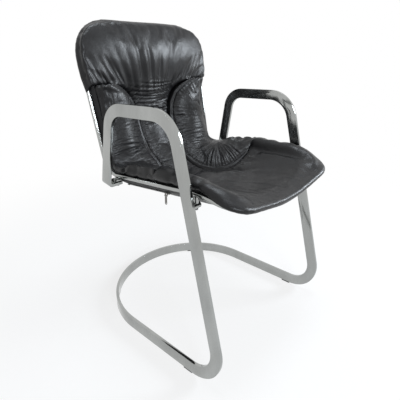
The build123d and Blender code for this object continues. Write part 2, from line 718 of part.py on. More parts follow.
# Leather edge rolls over the bows.
roll_foot_x = back_rail_x(roll_start_height)
roll_foot = Vector(roll_foot_x, back_y(roll_start_height), roll_start_height)
roll_foot_left = Vector(-roll_foot_x, roll_foot.Y, roll_foot.Z)
bow_corner = Vector(bow_corner_x, back_y(bow_height), bow_height)
bow_corner_left = Vector(-bow_corner_x, bow_corner.Y, bow_corner.Z)
with BuildPart() as top_roll:
    with BuildLine():
        FilletPolyline(roll_foot_left, bow_corner_left, bow_corner, roll_foot, radius=bow_corner_radius)
    with BuildSketch(Plane(origin=roll_foot_left, z_dir=bow_corner_left - roll_foot_left)):
        Circle(roll_radius)
        Circle(rail_radius + roll_bore_gap, mode=Mode.SUBTRACT)
    sweep()
top_roll.part.label = "top_roll"
export_step(top_roll.part, "parts/top_roll.step")

front_roll_rise = (front_roll_end - bow_joint_x) * bow_slope
front_roll_tip = Vector(front_roll_end, front_bow_y, front_joint_height + front_roll_rise)
front_roll_tip_left = Vector(-front_roll_end, front_bow_y, front_roll_tip.Z)
with BuildPart() as front_roll:
    with BuildLine():
        Line(front_roll_tip_left, front_joint_left)
        ThreePointArc(front_joint_left, front_middle, front_joint)
        Line(front_joint, front_roll_tip)
    with BuildSketch(Plane(origin=front_roll_tip_left, z_dir=front_bow_dir_left * -1)):
        Circle(roll_radius)
        Circle(rail_radius + roll_bore_gap, mode=Mode.SUBTRACT)
    sweep()
front_roll.part.label = "front_roll"
export_step(front_roll.part, "parts/front_roll.step")

# Webbing straps across the rods, each in its own plane, with a welded tab and a rivet at each end.
back_strap_start = 36.0
top_strap_sag = -42.0
back_strap_run = roll_start_height - strap_roll_gap - strap_width / 2 - bend_top_height - back_strap_start
back_strap_count = int(back_strap_run / (strap_width + strap_space)) + 1
back_strap_pitch = back_strap_run / (back_strap_count - 1)
seat_strap_count = 6
seat_strap_pitch = 45.0
seat_strap_start = 30.0
back_stations = []
for number in range(back_strap_count):
    strap_z = bend_top_height + back_strap_start + number * back_strap_pitch
    strap_sag = top_strap_sag if number == back_strap_count - 1 else back_sag
    back_stations.append((back_plane(strap_z), strap_sag))
seat_stations = []
for number in range(seat_strap_count):
    strap_y = bend_front_y - seat_strap_start - number * seat_strap_pitch
    seat_stations.append((seat_plane(strap_y), seat_sag))
strap_stations = back_stations + seat_stations


def rivet_plane(plane, sag, side):
    # On the upper face of the strap's end, square to it.
    rod = rod_x(plane)
    tilt = asin(rivet_x / sling_radius(rod, sag))
    spot = plane.from_local_coords((side * rivet_x, sling_height(rivet_x, rod, sag) - strap_gap, 0))
    normal = plane.y_dir * cos(tilt) - plane.x_dir * (side * sin(tilt))
    return Plane(origin=spot, x_dir=plane.z_dir, z_dir=normal)


def strap_face(plane, sag):
    # The strap's edge-on outline, seen along the strap's width.
    edge = sling_height(strap_half, rod_x(plane), sag) - strap_gap
    middle = sag - strap_gap
    low_edge = edge - strap_thick
    with BuildSketch(plane) as outline:
        with BuildLine():
            ThreePointArc((-strap_half, edge), (0, middle), (strap_half, edge))
            Line((strap_half, edge), (strap_half, low_edge))
            ThreePointArc((strap_half, low_edge), (0, middle - strap_thick), (-strap_half, low_edge))
            Line((-strap_half, low_edge), (-strap_half, edge))
        make_face()
    return outline.sketch.face()


with BuildPart() as back_straps:
    for plane, sag in back_stations:
        extrude(strap_face(plane, sag), amount=strap_width / 2, both=True)
        for side in (-1, 1):
            with BuildSketch(rivet_plane(plane, sag, side)):
                Circle(rivet_dia / 2 + pin_clearance)
            extrude(amount=2 * strap_thick, both=True, mode=Mode.SUBTRACT)
back_straps.part.label = "back_straps"
export_step(back_straps.part, "parts/back_straps.step")

with BuildPart() as seat_straps:
    for plane, sag in seat_stations:
        extrude(strap_face(plane, sag), amount=strap_width / 2, both=True)
        for side in (-1, 1):
            with BuildSketch(rivet_plane(plane, sag, side)):
                Circle(rivet_dia / 2 + pin_clearance)
            extrude(amount=2 * strap_thick, both=True, mode=Mode.SUBTRACT)
seat_straps.part.label = "seat_straps"
export_step(seat_straps.part, "parts/seat_straps.step")

tab_drop = strap_gap + strap_thick + tab_gap
with BuildPart() as right_strap_tabs:
    for plane, sag in strap_stations:
        rod = rod_x(plane)
        end_x = rod - 0.6 * rail_radius
        start_top = sling_height(tab_start, rod, sag) - tab_drop
        middle_top = sling_height(rivet_x, rod, sag) - tab_drop
        end_top = sling_height(end_x, rod, sag) - tab_drop
        with BuildSketch(plane):
            with BuildLine():
                ThreePointArc((tab_start, start_top), (rivet_x, middle_top), (end_x, end_top))
                Line((end_x, end_top), (end_x, end_top - tab_thick))
                low_start = (tab_start, start_top - tab_thick)
                ThreePointArc((end_x, end_top - tab_thick), (rivet_x, middle_top - tab_thick), low_start)
                Line(low_start, (tab_start, start_top))
            make_face()
        extrude(amount=tab_width / 2, both=True)
        rod_point = Vector(rod, plane.origin.Y, plane.origin.Z)
        with BuildSketch(Plane(origin=rod_point, z_dir=rod_dir(plane))):
            Circle(rail_radius + weld_gap)
        extrude(amount=tab_width, both=True, mode=Mode.SUBTRACT)
        with BuildSketch(rivet_plane(plane, sag, 1)):
            Circle(rivet_dia / 2 + pin_clearance)
        extrude(amount=-3 * (strap_thick + tab_thick), mode=Mode.SUBTRACT)
right_strap_tabs.part.label = "right_strap_tabs"
export_step(right_strap_tabs.part, "parts/right_strap_tabs.step")

with BuildPart() as left_strap_tabs:
    mirror(right_strap_tabs.part, about=Plane.YZ)
left_strap_tabs.part.label = "left_strap_tabs"
export_step(left_strap_tabs.part, "parts/left_strap_tabs.step")

with BuildPart() as strap_rivets:
    for plane, sag in strap_stations:
        grip = strap_thick + 2 * tab_gap + tab_thick
        for side in (-1, 1):
            pin_plane = rivet_plane(plane, sag, side)
            with BuildSketch(pin_plane):
                Circle(rivet_dia / 2)
            extrude(amount=-grip)
            with BuildSketch(pin_plane.offset(-grip)):
                Circle(rivet_head_dia / 2)
            extrude(amount=-rivet_head_height)
strap_rivets.part.label = "strap_rivets"
export_step(strap_rivets.part, "parts/strap_rivets.step")

# Leather skins behind the back and below the seat, parted above the corner bend. Each slice of the
# rear skin has its height, its narrowing and its sag. The upper slices keep their drop below the bow.
cover_half = rail_rear_x - rail_radius - cover_edge_gap
cover_parting = 8.0
cover_split_height = bend_top_height + cover_parting
rear_base = cover_split_height + seam_gap
rear_slack_drop = 173.8
rear_slack_height = bow_height - rear_slack_drop
rear_slices = (
    (bow_height - 18.1, 31.0, 2.0),
    (bow_height - 45.7, 2.0, -10.0),
    (bow_height - 85.2, 0.0, -28.0),
    (bow_height - 122.7, 0.0, -44.0),
    (rear_slack_height, 0.0, back_sag),
    ((rear_base + rear_slack_height) / 2, 0.0, back_sag),
    (rear_base, 0.0, back_sag),
)
rear_faces = []
for height, narrowing, sag in rear_slices:
    plane = back_plane(height)
    half = cover_half - narrowing
    edge = sling_height(half, max(rod_x(plane), rail_front_x), sag) - cover_gap
    rear_faces.append(skin_face(plane, half, edge, sag - cover_gap))
with BuildPart() as rear_cover:
    loft(rear_faces, ruled=True)
rear_cover.part.label = "rear_cover"
export_step(rear_cover.part, "parts/rear_cover.step")

under_run = bend_front_y - front_bow_y - seat_front_gap
under_slices = (
    (back_plane(cover_split_height), 0.0, back_sag),
    (bend_plane(0.33), 0.0, -55.0),
    (bend_plane(0.67), 0.0, -65.0),
    (bend_plane(1.0), 0.0, -71.5),
    (seat_plane(bend_front_y - 0.13 * under_run), 0.0, seat_sag),
    (seat_plane(bend_front_y - 0.28 * under_run), 0.0, seat_sag),
    (seat_plane(bend_front_y - 0.43 * under_run), 0.0, seat_sag),
    (seat_plane(bend_front_y - 0.58 * under_run), 0.0, seat_sag),
    (seat_plane(bend_front_y - 0.73 * under_run), 0.0, seat_sag),
    (seat_plane(bend_front_y - 0.87 * under_run), 2.0, -71.0),
    (seat_plane(bend_front_y - under_run), 33.0, -59.0),
)
under_faces = []
for plane, narrowing, sag in under_slices:
    half = cover_half - narrowing
    edge = sling_height(half, rail_front_x, sag) - cover_gap
    under_faces.append(skin_face(plane, half, edge, sag - cover_gap))
with BuildPart() as under_cover:
    loft(under_faces)
under_cover.part.label = "under_cover"
export_step(under_cover.part, "parts/under_cover.step")

# Zip: it lies along the seat on the skin's under side, and its own plane faces down and outward.
zip_station = seat_plane((zip_closed_y + zip_open_y) / 2)
zip_length = (zip_open_y - zip_closed_y) / cos(rise)
zip_tilt = asin(zip_x / sling_radius(rail_front_x, seat_sag))
zip_skin = sling_height(zip_x, rail_front_x, seat_sag) - cover_gap - cover_thick
zip_down = zip_station.y_dir * -cos(zip_tilt) - zip_station.x_dir * sin(zip_tilt)
zip_back = Vector(0, cos(rise), -sin(rise))
zip_origin = zip_station.from_local_coords((-zip_x, zip_skin, 0)) + zip_down * zip_gap
tape_plane = Plane(origin=zip_origin, x_dir=zip_back, z_dir=zip_down)

with BuildPart() as zip_tape:
    with BuildSketch(tape_plane):
        Rectangle(zip_length + 2 * slider_length, tape_width)
    extrude(amount=tape_thick)
zip_tape.part.label = "zip_tape"
export_step(zip_tape.part, "parts/zip_tape.step")

tooth_count = int(zip_length / tooth_pitch)
with BuildPart() as zip_chain:
    with BuildSketch(tape_plane.offset(tape_thick)):
        Rectangle(zip_length + slider_length, chain_width - 2 * tooth_reach)
        with GridLocations(tooth_pitch, 1, tooth_count, 1):
            Rectangle(tooth_length, chain_width)
    extrude(amount=chain_height)
zip_chain.part.label = "zip_chain"
export_step(zip_chain.part, "parts/zip_chain.step")

stop_x = (zip_length + slider_length + stop_length) / 2 + slider_gap
with BuildPart() as zip_stops:
    with BuildSketch(tape_plane.offset(tape_thick)):
        with Locations((-stop_x, 0), (stop_x, 0)):
            RectangleRounded(stop_length, chain_width + 2 * tooth_reach, tooth_reach)
    extrude(amount=chain_height + slider_plate)
zip_stops.part.label = "zip_stops"
export_step(zip_stops.part, "parts/zip_stops.step")

# The slider is parked at the front end. Its cheeks straddle the chain, and a bridge takes the pull.
slider_origin = zip_origin - zip_back * (zip_length / 2)
slider_plane = Plane(origin=slider_origin, x_dir=zip_back, z_dir=zip_down)
cheek_gap = chain_width / 2 + slider_gap
slider_half = cheek_gap + slider_wall
slider_low = tape_thick + slider_gap
slider_top = tape_thick + chain_height + slider_gap
bridge_axis = slider_top + slider_plate + bridge_height - bridge_width / 2
bridge_origin = slider_plane.from_local_coords((0, 0, bridge_axis))
with BuildPart() as zip_slider:
    with BuildSketch(slider_plane.offset(slider_top)):
        RectangleRounded(slider_length, 2 * slider_half, slider_wall)
    extrude(amount=slider_plate)
    for cheek in (-1, 1):
        with BuildSketch(slider_plane.offset(slider_low)):
            with Locations((0, cheek * (cheek_gap + slider_wall / 2))):
                Rectangle(slider_length - 2 * slider_wall, slider_wall)
        extrude(amount=slider_top - slider_low)
        with BuildSketch(slider_plane.offset(slider_top + slider_plate)):
            with Locations((0, cheek * (cheek_gap + slider_wall / 2))):
                Rectangle(bridge_width, slider_wall)
        extrude(amount=bridge_height)
    with BuildSketch(Plane(origin=bridge_origin, z_dir=slider_plane.y_dir)):
        Circle(bridge_dia / 2)
    extrude(amount=slider_half - slider_wall / 2, both=True)
zip_slider.part.label = "zip_slider"
export_step(zip_slider.part, "parts/zip_slider.step")

# The pull hangs on the bridge by a loose eye, widens downwards and has a round hole at its foot.
pull_foot = (pull_eye_dia + pull_width) / 2 - pull_length
with BuildPart() as zip_pull:
    with BuildSketch(Plane(origin=bridge_origin, x_dir=(0, 1, 0), z_dir=(1, 0, 0))):
        Circle(pull_eye_dia / 2)
        with Locations((0, pull_foot)):
            Circle(pull_width / 2)
        make_hull()
        Circle(pull_eye_hole / 2, mode=Mode.SUBTRACT)
        with Locations((0, pull_foot)):
            Circle(pull_hole / 2, mode=Mode.SUBTRACT)
    extrude(amount=pull_thick / 2, both=True)
zip_pull.part.label = "zip_pull"
export_step(zip_pull.part, "parts/zip_pull.step")
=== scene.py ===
import math

import bmesh
import bpy
import numpy as np
from mathutils import Matrix, Vector, noise


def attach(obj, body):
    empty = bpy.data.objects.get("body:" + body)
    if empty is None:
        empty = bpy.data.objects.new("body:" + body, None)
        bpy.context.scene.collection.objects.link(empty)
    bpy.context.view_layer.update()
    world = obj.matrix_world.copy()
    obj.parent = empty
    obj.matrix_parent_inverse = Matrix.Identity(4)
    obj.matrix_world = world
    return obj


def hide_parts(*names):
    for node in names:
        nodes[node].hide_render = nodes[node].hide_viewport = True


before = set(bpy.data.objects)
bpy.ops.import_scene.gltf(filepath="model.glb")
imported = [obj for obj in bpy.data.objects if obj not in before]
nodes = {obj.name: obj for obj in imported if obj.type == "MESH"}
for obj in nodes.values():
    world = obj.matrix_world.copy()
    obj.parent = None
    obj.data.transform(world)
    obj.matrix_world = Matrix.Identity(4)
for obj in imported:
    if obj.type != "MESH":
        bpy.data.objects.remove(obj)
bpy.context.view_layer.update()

scene = bpy.context.scene
scene.view_settings.view_transform = "Standard"

# Lines and soft forms are worked out in millimetres, and meshes are in metres.
MM = 0.001
TO_MM = 1000


# Small helpers
def arrays(mesh):
    """A mesh's points and its triangles."""
    co = np.empty(len(mesh.vertices) * 3, np.float32)
    mesh.vertices.foreach_get("co", co)
    mesh.calc_loop_triangles()
    tri = np.empty(len(mesh.loop_triangles) * 3, np.int32)
    mesh.loop_triangles.foreach_get("vertices", tri)
    return co.reshape(-1, 3).astype(float), tri.reshape(-1, 3)


def put(mesh, co):
    mesh.vertices.foreach_set("co", co.astype(np.float32).ravel())
    mesh.update()


def vertex_normals(mesh):
    n = np.empty(len(mesh.vertices) * 3, np.float32)
    mesh.vertex_normals.foreach_get("vector", n)
    return n.reshape(-1, 3).astype(float)


def make(name, verts, faces):
    mesh = bpy.data.meshes.new(name)
    mesh.from_pydata(np.asarray(verts).tolist(), [], [list(map(int, f)) for f in faces])
    mesh.update()
    obj = bpy.data.objects.new(name, mesh)
    scene.collection.objects.link(obj)
    return obj


def bake(obj):
    """Applies obj's modifiers into a mesh of its own."""
    bpy.context.view_layer.update()
    graph = bpy.context.evaluated_depsgraph_get()
    mesh = bpy.data.meshes.new_from_object(obj.evaluated_get(graph))
    obj.modifiers.clear()
    old = obj.data
    obj.data = mesh
    bpy.data.meshes.remove(old)
    mesh.name = obj.name


def shade(mesh, angle=None):
    """Smooth shading, with edges over the angle in degrees kept sharp."""
    mesh.polygons.foreach_set("use_smooth", np.ones(len(mesh.polygons), bool))
    if angle is not None:
        mesh.set_sharp_from_angle(angle=math.radians(angle))
    mesh.update()


def joined(parts):
    """Several pairs of points and triangles as one."""
    verts, faces, start = [], [], 0
    for co, tri in parts:
        verts.append(co)
        faces.append(np.asarray(tri) + start)
        start += len(co)
    return np.vstack(verts), np.vstack(faces)


def remesh(obj, voxel):
    mod = obj.modifiers.new("remesh", "REMESH")
    mod.mode = "VOXEL"
    mod.voxel_size = voxel
    mod.adaptivity = 0
    bake(obj)


def subdivide(obj):
    mod = obj.modifiers.new("subdivide", "SUBSURF")
    mod.levels = 1
    mod.render_levels = 1
    bake(obj)


def edge_array(mesh):
    e = np.empty(len(mesh.edges) * 2, np.int32)
    mesh.edges.foreach_get("vertices", e)
    return e.reshape(-1, 2)


def average(values, e, count):
    """Mean of each vertex's neighbours."""
    out = np.empty_like(values)
    degree = np.bincount(e.ravel(), minlength=count).clip(1)
    for k in range(values.shape[1]):
        total = np.bincount(e[:, 0], values[e[:, 1], k], count)
        total += np.bincount(e[:, 1], values[e[:, 0], k], count)
        out[:, k] = total / degree
    return out


STEP_IN, STEP_OUT = 0.6, -0.62


def relax(mesh, rounds):
    """Smooths without shrinking, by a step in and a step out each round."""
    co, _ = arrays(mesh)
    e = edge_array(mesh)
    for _ in range(rounds):
        for share in (STEP_IN, STEP_OUT):
            co += share * (average(co, e, len(co)) - co)
    put(mesh, co)


def melt(mesh, weight, rounds):
    """Plain smoothing of part of a mesh, by weight."""
    co, _ = arrays(mesh)
    e = edge_array(mesh)
    for _ in range(rounds):
        co += (STEP_IN * weight)[:, None] * (average(co, e, len(co)) - co)
    put(mesh, co)


def smooth_row(points, rounds):
    """Evens out a row of points in place, with both ends kept."""
    for _ in range(rounds):
        points[1:-1] = (points[:-2] + 2 * points[1:-1] + points[2:]) / 4


def step(x, low, high):
    """Rises softly from 0 at low to 1 at high."""
    t = np.clip((x - low) / (high - low), 0, 1)
    return t * t * (3 - 2 * t)


def bell(x, width):
    return np.exp(-((x / width) ** 2))


def groove(u, width):
    """A sharp valley with a soft ridge on each side."""
    return 0.5 * bell(np.abs(u) - 2.1 * width, 1.6 * width) - bell(u, width)


def attribute(mesh, name, values):
    values = np.asarray(values, np.float32)
    kind = "FLOAT" if values.ndim == 1 else "FLOAT_VECTOR"
    field = mesh.attributes.new(name, kind, "POINT")
    field.data.foreach_set("value" if kind == "FLOAT" else "vector", values.ravel())


# A direction that no tube here starts along.
ASIDE = (0.3, 0.2, 1.0)


def tube(path, radius, sides=16):
    """A closed tube along points, in metres; the radius is one number or one for each point."""
    path = np.asarray(path, float)
    radius = np.broadcast_to(np.asarray(radius, float), (len(path),))
    tangent = np.gradient(path, axis=0)
    tangent /= np.linalg.norm(tangent, axis=1)[:, None]
    side = np.cross(tangent[0], ASIDE)
    verts = []
    for p, t, r in zip(path, tangent, radius):
        side = side - t * (side @ t)
        side /= np.linalg.norm(side)
        up = np.cross(t, side)
        for k in range(sides):
            a = 2 * math.pi * k / sides
            verts.append(p + r * (math.cos(a) * side + math.sin(a) * up))
    faces = []
    for i in range(len(path) - 1):
        for k in range(sides):
            a, b = i * sides + k, i * sides + (k + 1) % sides
            faces += [(a, b, b + sides), (a, b + sides, a + sides)]
    last = (len(path) - 1) * sides
    for k in range(1, sides - 1):
        faces += [(0, k + 1, k), (last, last + k, last + k + 1)]
    return np.array(verts), np.array(faces)


def rounded(points, radius, count=14):
    """A polyline with its inner corners rounded."""
    points = [np.asarray(p, float) for p in points]
    path = [points[0]]
    for before, corner, after in zip(points, points[1:], points[2:]):
        u, w = before - corner, after - corner
        u, w = u / np.linalg.norm(u), w / np.linalg.norm(w)
        half = math.acos(np.clip(u @ w, -1, 1)) / 2
        reach = radius / math.tan(half)
        a, b = corner + u * reach, corner + w * reach
        middle = corner + (u + w) / np.linalg.norm(u + w) * (radius / math.sin(half))
        for t in np.linspace(0, 1, count):
            p = a + (b - a) * t
            path.append(middle + (p - middle) / np.linalg.norm(p - middle) * radius)
    path.append(points[-1])
    return np.array(path)


def run_along(path):
    """The length from the path's start to each of its points."""
    return np.concatenate([[0], np.cumsum(np.linalg.norm(np.diff(path, axis=0), axis=1))])


def resample(path, pitch):
    """The path with points about a pitch apart, and the run at each."""
    path = np.asarray(path, float)
    run = run_along(path)
    at = np.linspace(0, run[-1], max(2, int(round(run[-1] / pitch)) + 1))
    return np.stack([np.interp(at, run, path[:, k]) for k in range(path.shape[1])], 1), at


def nearest(points, path, batch=4000):
    """For each point, the distance to the path's nearest point and that point's number."""
    found = np.empty(len(points), int)
    away = np.empty(len(points))
    for i in range(0, len(points), batch):
        gap = ((points[i:i + batch, None, :] - path[None, :, :]) ** 2).sum(2)
        found[i:i + batch] = gap.argmin(1)
        away[i:i + batch] = np.sqrt(gap.min(1))
    return away, found


# The frame's own lines, as in the CAD source
BACK_RAKE, SEAT_RISE = math.radians(12.42), math.radians(5.47)
# The lines of the back and the seat meet at the seat corner, which the rod rounds in a bend.
CORNER_Y, CORNER_Z = 169.8, 431.6
BEND_TOP, BEND_FRONT = 474.9, 125.7
BEND_MIDDLE, BEND_RADIUS = (130.5, 485.6), 50.0
# The wings reach from the pillow's pocket, round the bend, to their tips on the seat.
POCKET, TIP_Y = 663.0, -32.0
BOW_Z, FRONT_Y = 826.0, -275.0
# The rods stand this far out at the seat corner and at the front stubs, and spread up the back.
RAIL_X, RAIL_FLARE = 214.0, 0.048
STUB_X, STUB_Y = 222.0, -165.96
LINE_PITCH, ROLL_PITCH = 2.0, 5.0


def back_y(z):
    return CORNER_Y + (z - CORNER_Z) * math.tan(BACK_RAKE)


def back_rail_x(z):
    return RAIL_X + (z - CORNER_Z) * RAIL_FLARE


def seat_z(y):
    return CORNER_Z + (CORNER_Y - y) * math.tan(SEAT_RISE)


def seat_rail_x(y):
    return STUB_X - (STUB_X - RAIL_X) * (y - STUB_Y) / (CORNER_Y - STUB_Y)


# A station is a point of the rods' plane, in y and z, and the direction from it to the sitter.
def back_station(z):
    return (back_y(z), z), (-math.cos(BACK_RAKE), math.sin(BACK_RAKE))


def seat_station(y):
    return (y, seat_z(y)), (math.sin(SEAT_RISE), math.cos(SEAT_RISE))


def bend_station(share):
    a = (math.pi - BACK_RAKE) * (1 - share) + (math.pi / 2 - SEAT_RISE) * share
    n = (math.cos(a), math.sin(a))
    return (BEND_MIDDLE[0] - BEND_RADIUS * n[0], BEND_MIDDLE[1] - BEND_RADIUS * n[1]), n


def bend_rail_x(station):
    (y, _), _ = station
    return seat_rail_x(min(y, CORNER_Y))


def lifted(station, x, v):
    """The point at x, a height v over a station."""
    (y, z), n = station
    return (x, y + n[0] * v, z + n[1] * v)


# The seam between wing and middle: the share of its stretch, x, its height and the middle line's height.
WING_SPAN, SEAT_RUN = POCKET - BEND_TOP, BEND_FRONT - TIP_Y
BACK_SEAM = ((1.0, 160, 24, 9), (0.93, 122, 6, 4.5), (0.83, 94, -6, 0), (0.66, 73, -12, -5),
             (0.45, 65, -15, -8), (0.22, 63, -10, -4))
BEND_SEAM = ((0.0, 60, 2, 8), (0.35, 57, 8, 13), (0.7, 55, 6, 11), (1.0, 56, -7, -3))
SEAT_SEAM = ((0.15, 60, -24, -20), (0.33, 65, -36, -32), (0.54, 80, -43, -39), (0.73, 101, -41, -43),
             (0.88, 127, -30, -45), (0.95, 146, -18, -46), (1.0, 166, -5, -47))
seam = [(back_station(BEND_TOP + share * WING_SPAN), *rest) for share, *rest in BACK_SEAM]
seam += [(bend_station(share), *rest) for share, *rest in BEND_SEAM]
seam += [(seat_station(BEND_FRONT - share * SEAT_RUN), *rest) for share, *rest in SEAT_SEAM]
seam_path, seam_run = resample([lifted(station, x, v) for station, x, v, _ in seam], LINE_PITCH)

# The middle line of the front, from the seat's front edge up to the bow: y or z, and the height.
SEAT_MIDDLE = ((-286, -44), (-262, -38), (-200, -45), (-110, -49))
PILLOW_MIDDLE = ((676, 10), (700, 20), (740, 30), (780, 33), (806, 31), (826, 18))
spine = [lifted(seat_station(y), 0, v) for y, v in SEAT_MIDDLE]
spine += [lifted(station, 0, middle) for station, _, _, middle in reversed(seam)]
spine += [lifted(back_station(z), 0, v) for z, v in PILLOW_MIDDLE]
spine_path, spine_run = resample(spine, LINE_PITCH)

# The leather roll over the top bow, thinner towards its two feet.
LOOP_FOOT, LOOP_CORNER = 636.0, 87.0
loop_points = [(side * back_rail_x(z), back_y(z), z)
               for side, z in ((-1, LOOP_FOOT), (-1, BOW_Z), (1, BOW_Z), (1, LOOP_FOOT))]
top_loop, _ = resample(rounded(loop_points, LOOP_CORNER), ROLL_PITCH)
smooth_row(top_loop, 30)
top_radius = np.interp(top_loop[:, 2], (LOOP_FOOT, 650, 668, 690, 712), (3.0, 6.0, 9.0, 10.5, 11.0))

# The roll over the front bow, which dips in the middle and turns back at both ends to the rods.
DIP_HALF, DIP_Z, DIP_RISE = 100.0, 421.9, 8.1
TURN_X, TURN_Z, TURN_FOOT, TURN_RADIUS = 216.0, 449.0, -196.0, 55.0
front_x = np.linspace(-DIP_HALF, DIP_HALF, 41)
front_z = DIP_Z + DIP_RISE * (front_x / DIP_HALF) ** 2
front_arc = np.stack([front_x, np.full(len(front_x), FRONT_Y), front_z], 1)
front_corner = rounded([(DIP_HALF, FRONT_Y, DIP_Z + DIP_RISE), (TURN_X, FRONT_Y, TURN_Z),
                        (seat_rail_x(TURN_FOOT), TURN_FOOT, seat_z(TURN_FOOT))], TURN_RADIUS)
front_line = np.vstack([front_corner[:0:-1] * (-1, 1, 1), front_arc, front_corner[1:]])
front_line, _ = resample(front_line, ROLL_PITCH)
front_radius = np.interp(front_line[:, 1], (FRONT_Y, -250, -215, TURN_FOOT), (11.0, 10.5, 8.0, 4.0))


# Materials
def material(name):
    mat = bpy.data.materials.new(name)
    mat.use_nodes = True
    tree = mat.node_tree
    tree.nodes.clear()
    out = tree.nodes.new("ShaderNodeOutputMaterial")
    shader = tree.nodes.new("ShaderNodeBsdfPrincipled")
    tree.links.new(shader.outputs["BSDF"], out.inputs["Surface"])
    return mat, tree, shader


def node(tree, kind, **settings):
    n = tree.nodes.new(kind)
    for key, value in settings.items():
        setattr(n, key, value)
    return n


def link(tree, source, target):
    tree.links.new(source, target)


def object_space(tree):
    return node(tree, "ShaderNodeTexCoord").outputs["Object"]


def ramp(tree, source, stops):
    n = tree.nodes.new("ShaderNodeValToRGB")
    for k, (at, colour) in enumerate(stops):
        spot = n.color_ramp.elements[k] if k < 2 else n.color_ramp.elements.new(at)
        spot.position = at
        spot.color = (*colour, 1.0)
    link(tree, source, n.inputs["Fac"])
    return n.outputs["Color"]


def spread(tree, source, low, high, from_low=0.0, from_high=1.0, **settings):
    n = node(tree, "ShaderNodeMapRange", **settings)
    for key, value in (("From Min", from_low), ("From Max", from_high), ("To Min", low), ("To Max", high)):
        n.inputs[key].default_value = value
    link(tree, source, n.inputs["Value"])
    return n.outputs["Result"]


def times(tree, a, b):
    n = node(tree, "ShaderNodeMath", operation="MULTIPLY")
    link(tree, a, n.inputs[0])
    link(tree, b, n.inputs[1])
    return n.outputs[0]


def noise_tex(tree, vector, scale, detail=3.0, rough=0.55, kind="FBM", distortion=0.0):
    n = node(tree, "ShaderNodeTexNoise", noise_type=kind)
    n.inputs["Scale"].default_value = scale
    n.inputs["Detail"].default_value = detail
    n.inputs["Roughness"].default_value = rough
    n.inputs["Distortion"].default_value = distortion
    link(tree, vector, n.inputs["Vector"])
    return n.outputs["Fac"]


def bump(tree, height, distance, strength, before=None):
    n = node(tree, "ShaderNodeBump")
    n.inputs["Strength"].default_value = strength
    n.inputs["Distance"].default_value = distance
    link(tree, height, n.inputs["Height"])
    if before is not None:
        link(tree, before, n.inputs["Normal"])
    return n.outputs["Normal"]


def stretched(tree, vector, scale):
    n = node(tree, "ShaderNodeMapping")
    n.inputs["Scale"].default_value = scale
    link(tree, vector, n.inputs["Vector"])
    return n.outputs["Vector"]


def leather(name, dark, light, warm, rough, pleated):
    """Grained hide; on pleated pieces, the mesh's own fields steer fine pleats along the seam."""
    mat, tree, shader = material(name)
    where = object_space(tree)
    patches = noise_tex(tree, where, scale=9.0, detail=4.0, rough=0.6)
    tone = ramp(tree, patches, ((0.3, dark), (0.62, light), (0.85, warm)))
    link(tree, tone, shader.inputs["Base Color"])
    handled = noise_tex(tree, where, scale=38.0, detail=5.0, rough=0.62)
    link(tree, spread(tree, handled, *rough, 0.3, 0.72), shader.inputs["Roughness"])
    grain = node(tree, "ShaderNodeTexVoronoi", feature="SMOOTH_F1")
    grain.inputs["Scale"].default_value = 760.0
    link(tree, where, grain.inputs["Vector"])
    normal = bump(tree, grain.outputs["Distance"], distance=0.00035, strength=0.5)
    creases = noise_tex(tree, where, scale=70.0, rough=0.5, kind="RIDGED_MULTIFRACTAL", distortion=0.4)
    normal = bump(tree, creases, distance=0.0004, strength=0.55, before=normal)
    if pleated:
        flow = node(tree, "ShaderNodeAttribute", attribute_name="flow").outputs["Vector"]
        amount = node(tree, "ShaderNodeAttribute", attribute_name="pleat").outputs["Fac"]
        fine = noise_tex(tree, stretched(tree, flow, (150.0, 13.0, 9.0)), scale=1.0, detail=2.0, rough=0.5)
        normal = bump(tree, times(tree, fine, amount), distance=0.004, strength=0.8, before=normal)
    link(tree, normal, shader.inputs["Normal"])
    shader.inputs["IOR"].default_value = 1.45
    shader.inputs["Specular IOR Level"].default_value = 0.36
    return mat


def metal(name, colour, rough, scratch, painted_reflection_dim=0.86):
    mat, tree, shader = material(name)
    where = object_space(tree)
    # Broad streaks along the bars are painted into the base colour: painted reflections, dark and light bands
    # that stand in for the surroundings a polished bar mirrors.
    painted_reflection_bands = noise_tex(tree, stretched(tree, where, (9.0, 13.0, 5.0)), scale=1.0, detail=5.0, rough=0.6)
    tone = ramp(tree, painted_reflection_bands, ((0.3, tuple(c * painted_reflection_dim for c in colour)), (0.7, colour)))
    link(tree, tone, shader.inputs["Base Color"])
    smudge = noise_tex(tree, where, scale=65.0, detail=5.0, rough=0.65)
    link(tree, spread(tree, smudge, *rough, 0.3, 0.75), shader.inputs["Roughness"])
    lines = noise_tex(tree, where, scale=420.0, rough=0.6)
    link(tree, bump(tree, lines, scratch, strength=0.35), shader.inputs["Normal"])
    shader.inputs["Metallic"].default_value = 1.0
    return mat


def woven(name, dark, light, pitch):
    mat, tree, shader = material(name)
    where = object_space(tree)
    across = node(tree, "ShaderNodeTexWave", wave_type="BANDS", bands_direction="X")
    along = node(tree, "ShaderNodeTexWave", wave_type="BANDS", bands_direction="Y")
    for wave in (across, along):
        wave.inputs["Scale"].default_value = pitch
        wave.inputs["Distortion"].default_value = 0.6
        link(tree, where, wave.inputs["Vector"])
    weave = times(tree, across.outputs["Fac"], along.outputs["Fac"])
    link(tree, ramp(tree, weave, ((0.1, dark), (0.9, light))), shader.inputs["Base Color"])
    fuzz = noise_tex(tree, where, scale=900.0, detail=2.0)
    link(tree, spread(tree, fuzz, 0.75, 0.95), shader.inputs["Roughness"])
    link(tree, bump(tree, weave, distance=0.0005, strength=0.7), shader.inputs["Normal"])
    shader.inputs["Sheen Weight"].default_value = 0.25
    return mat


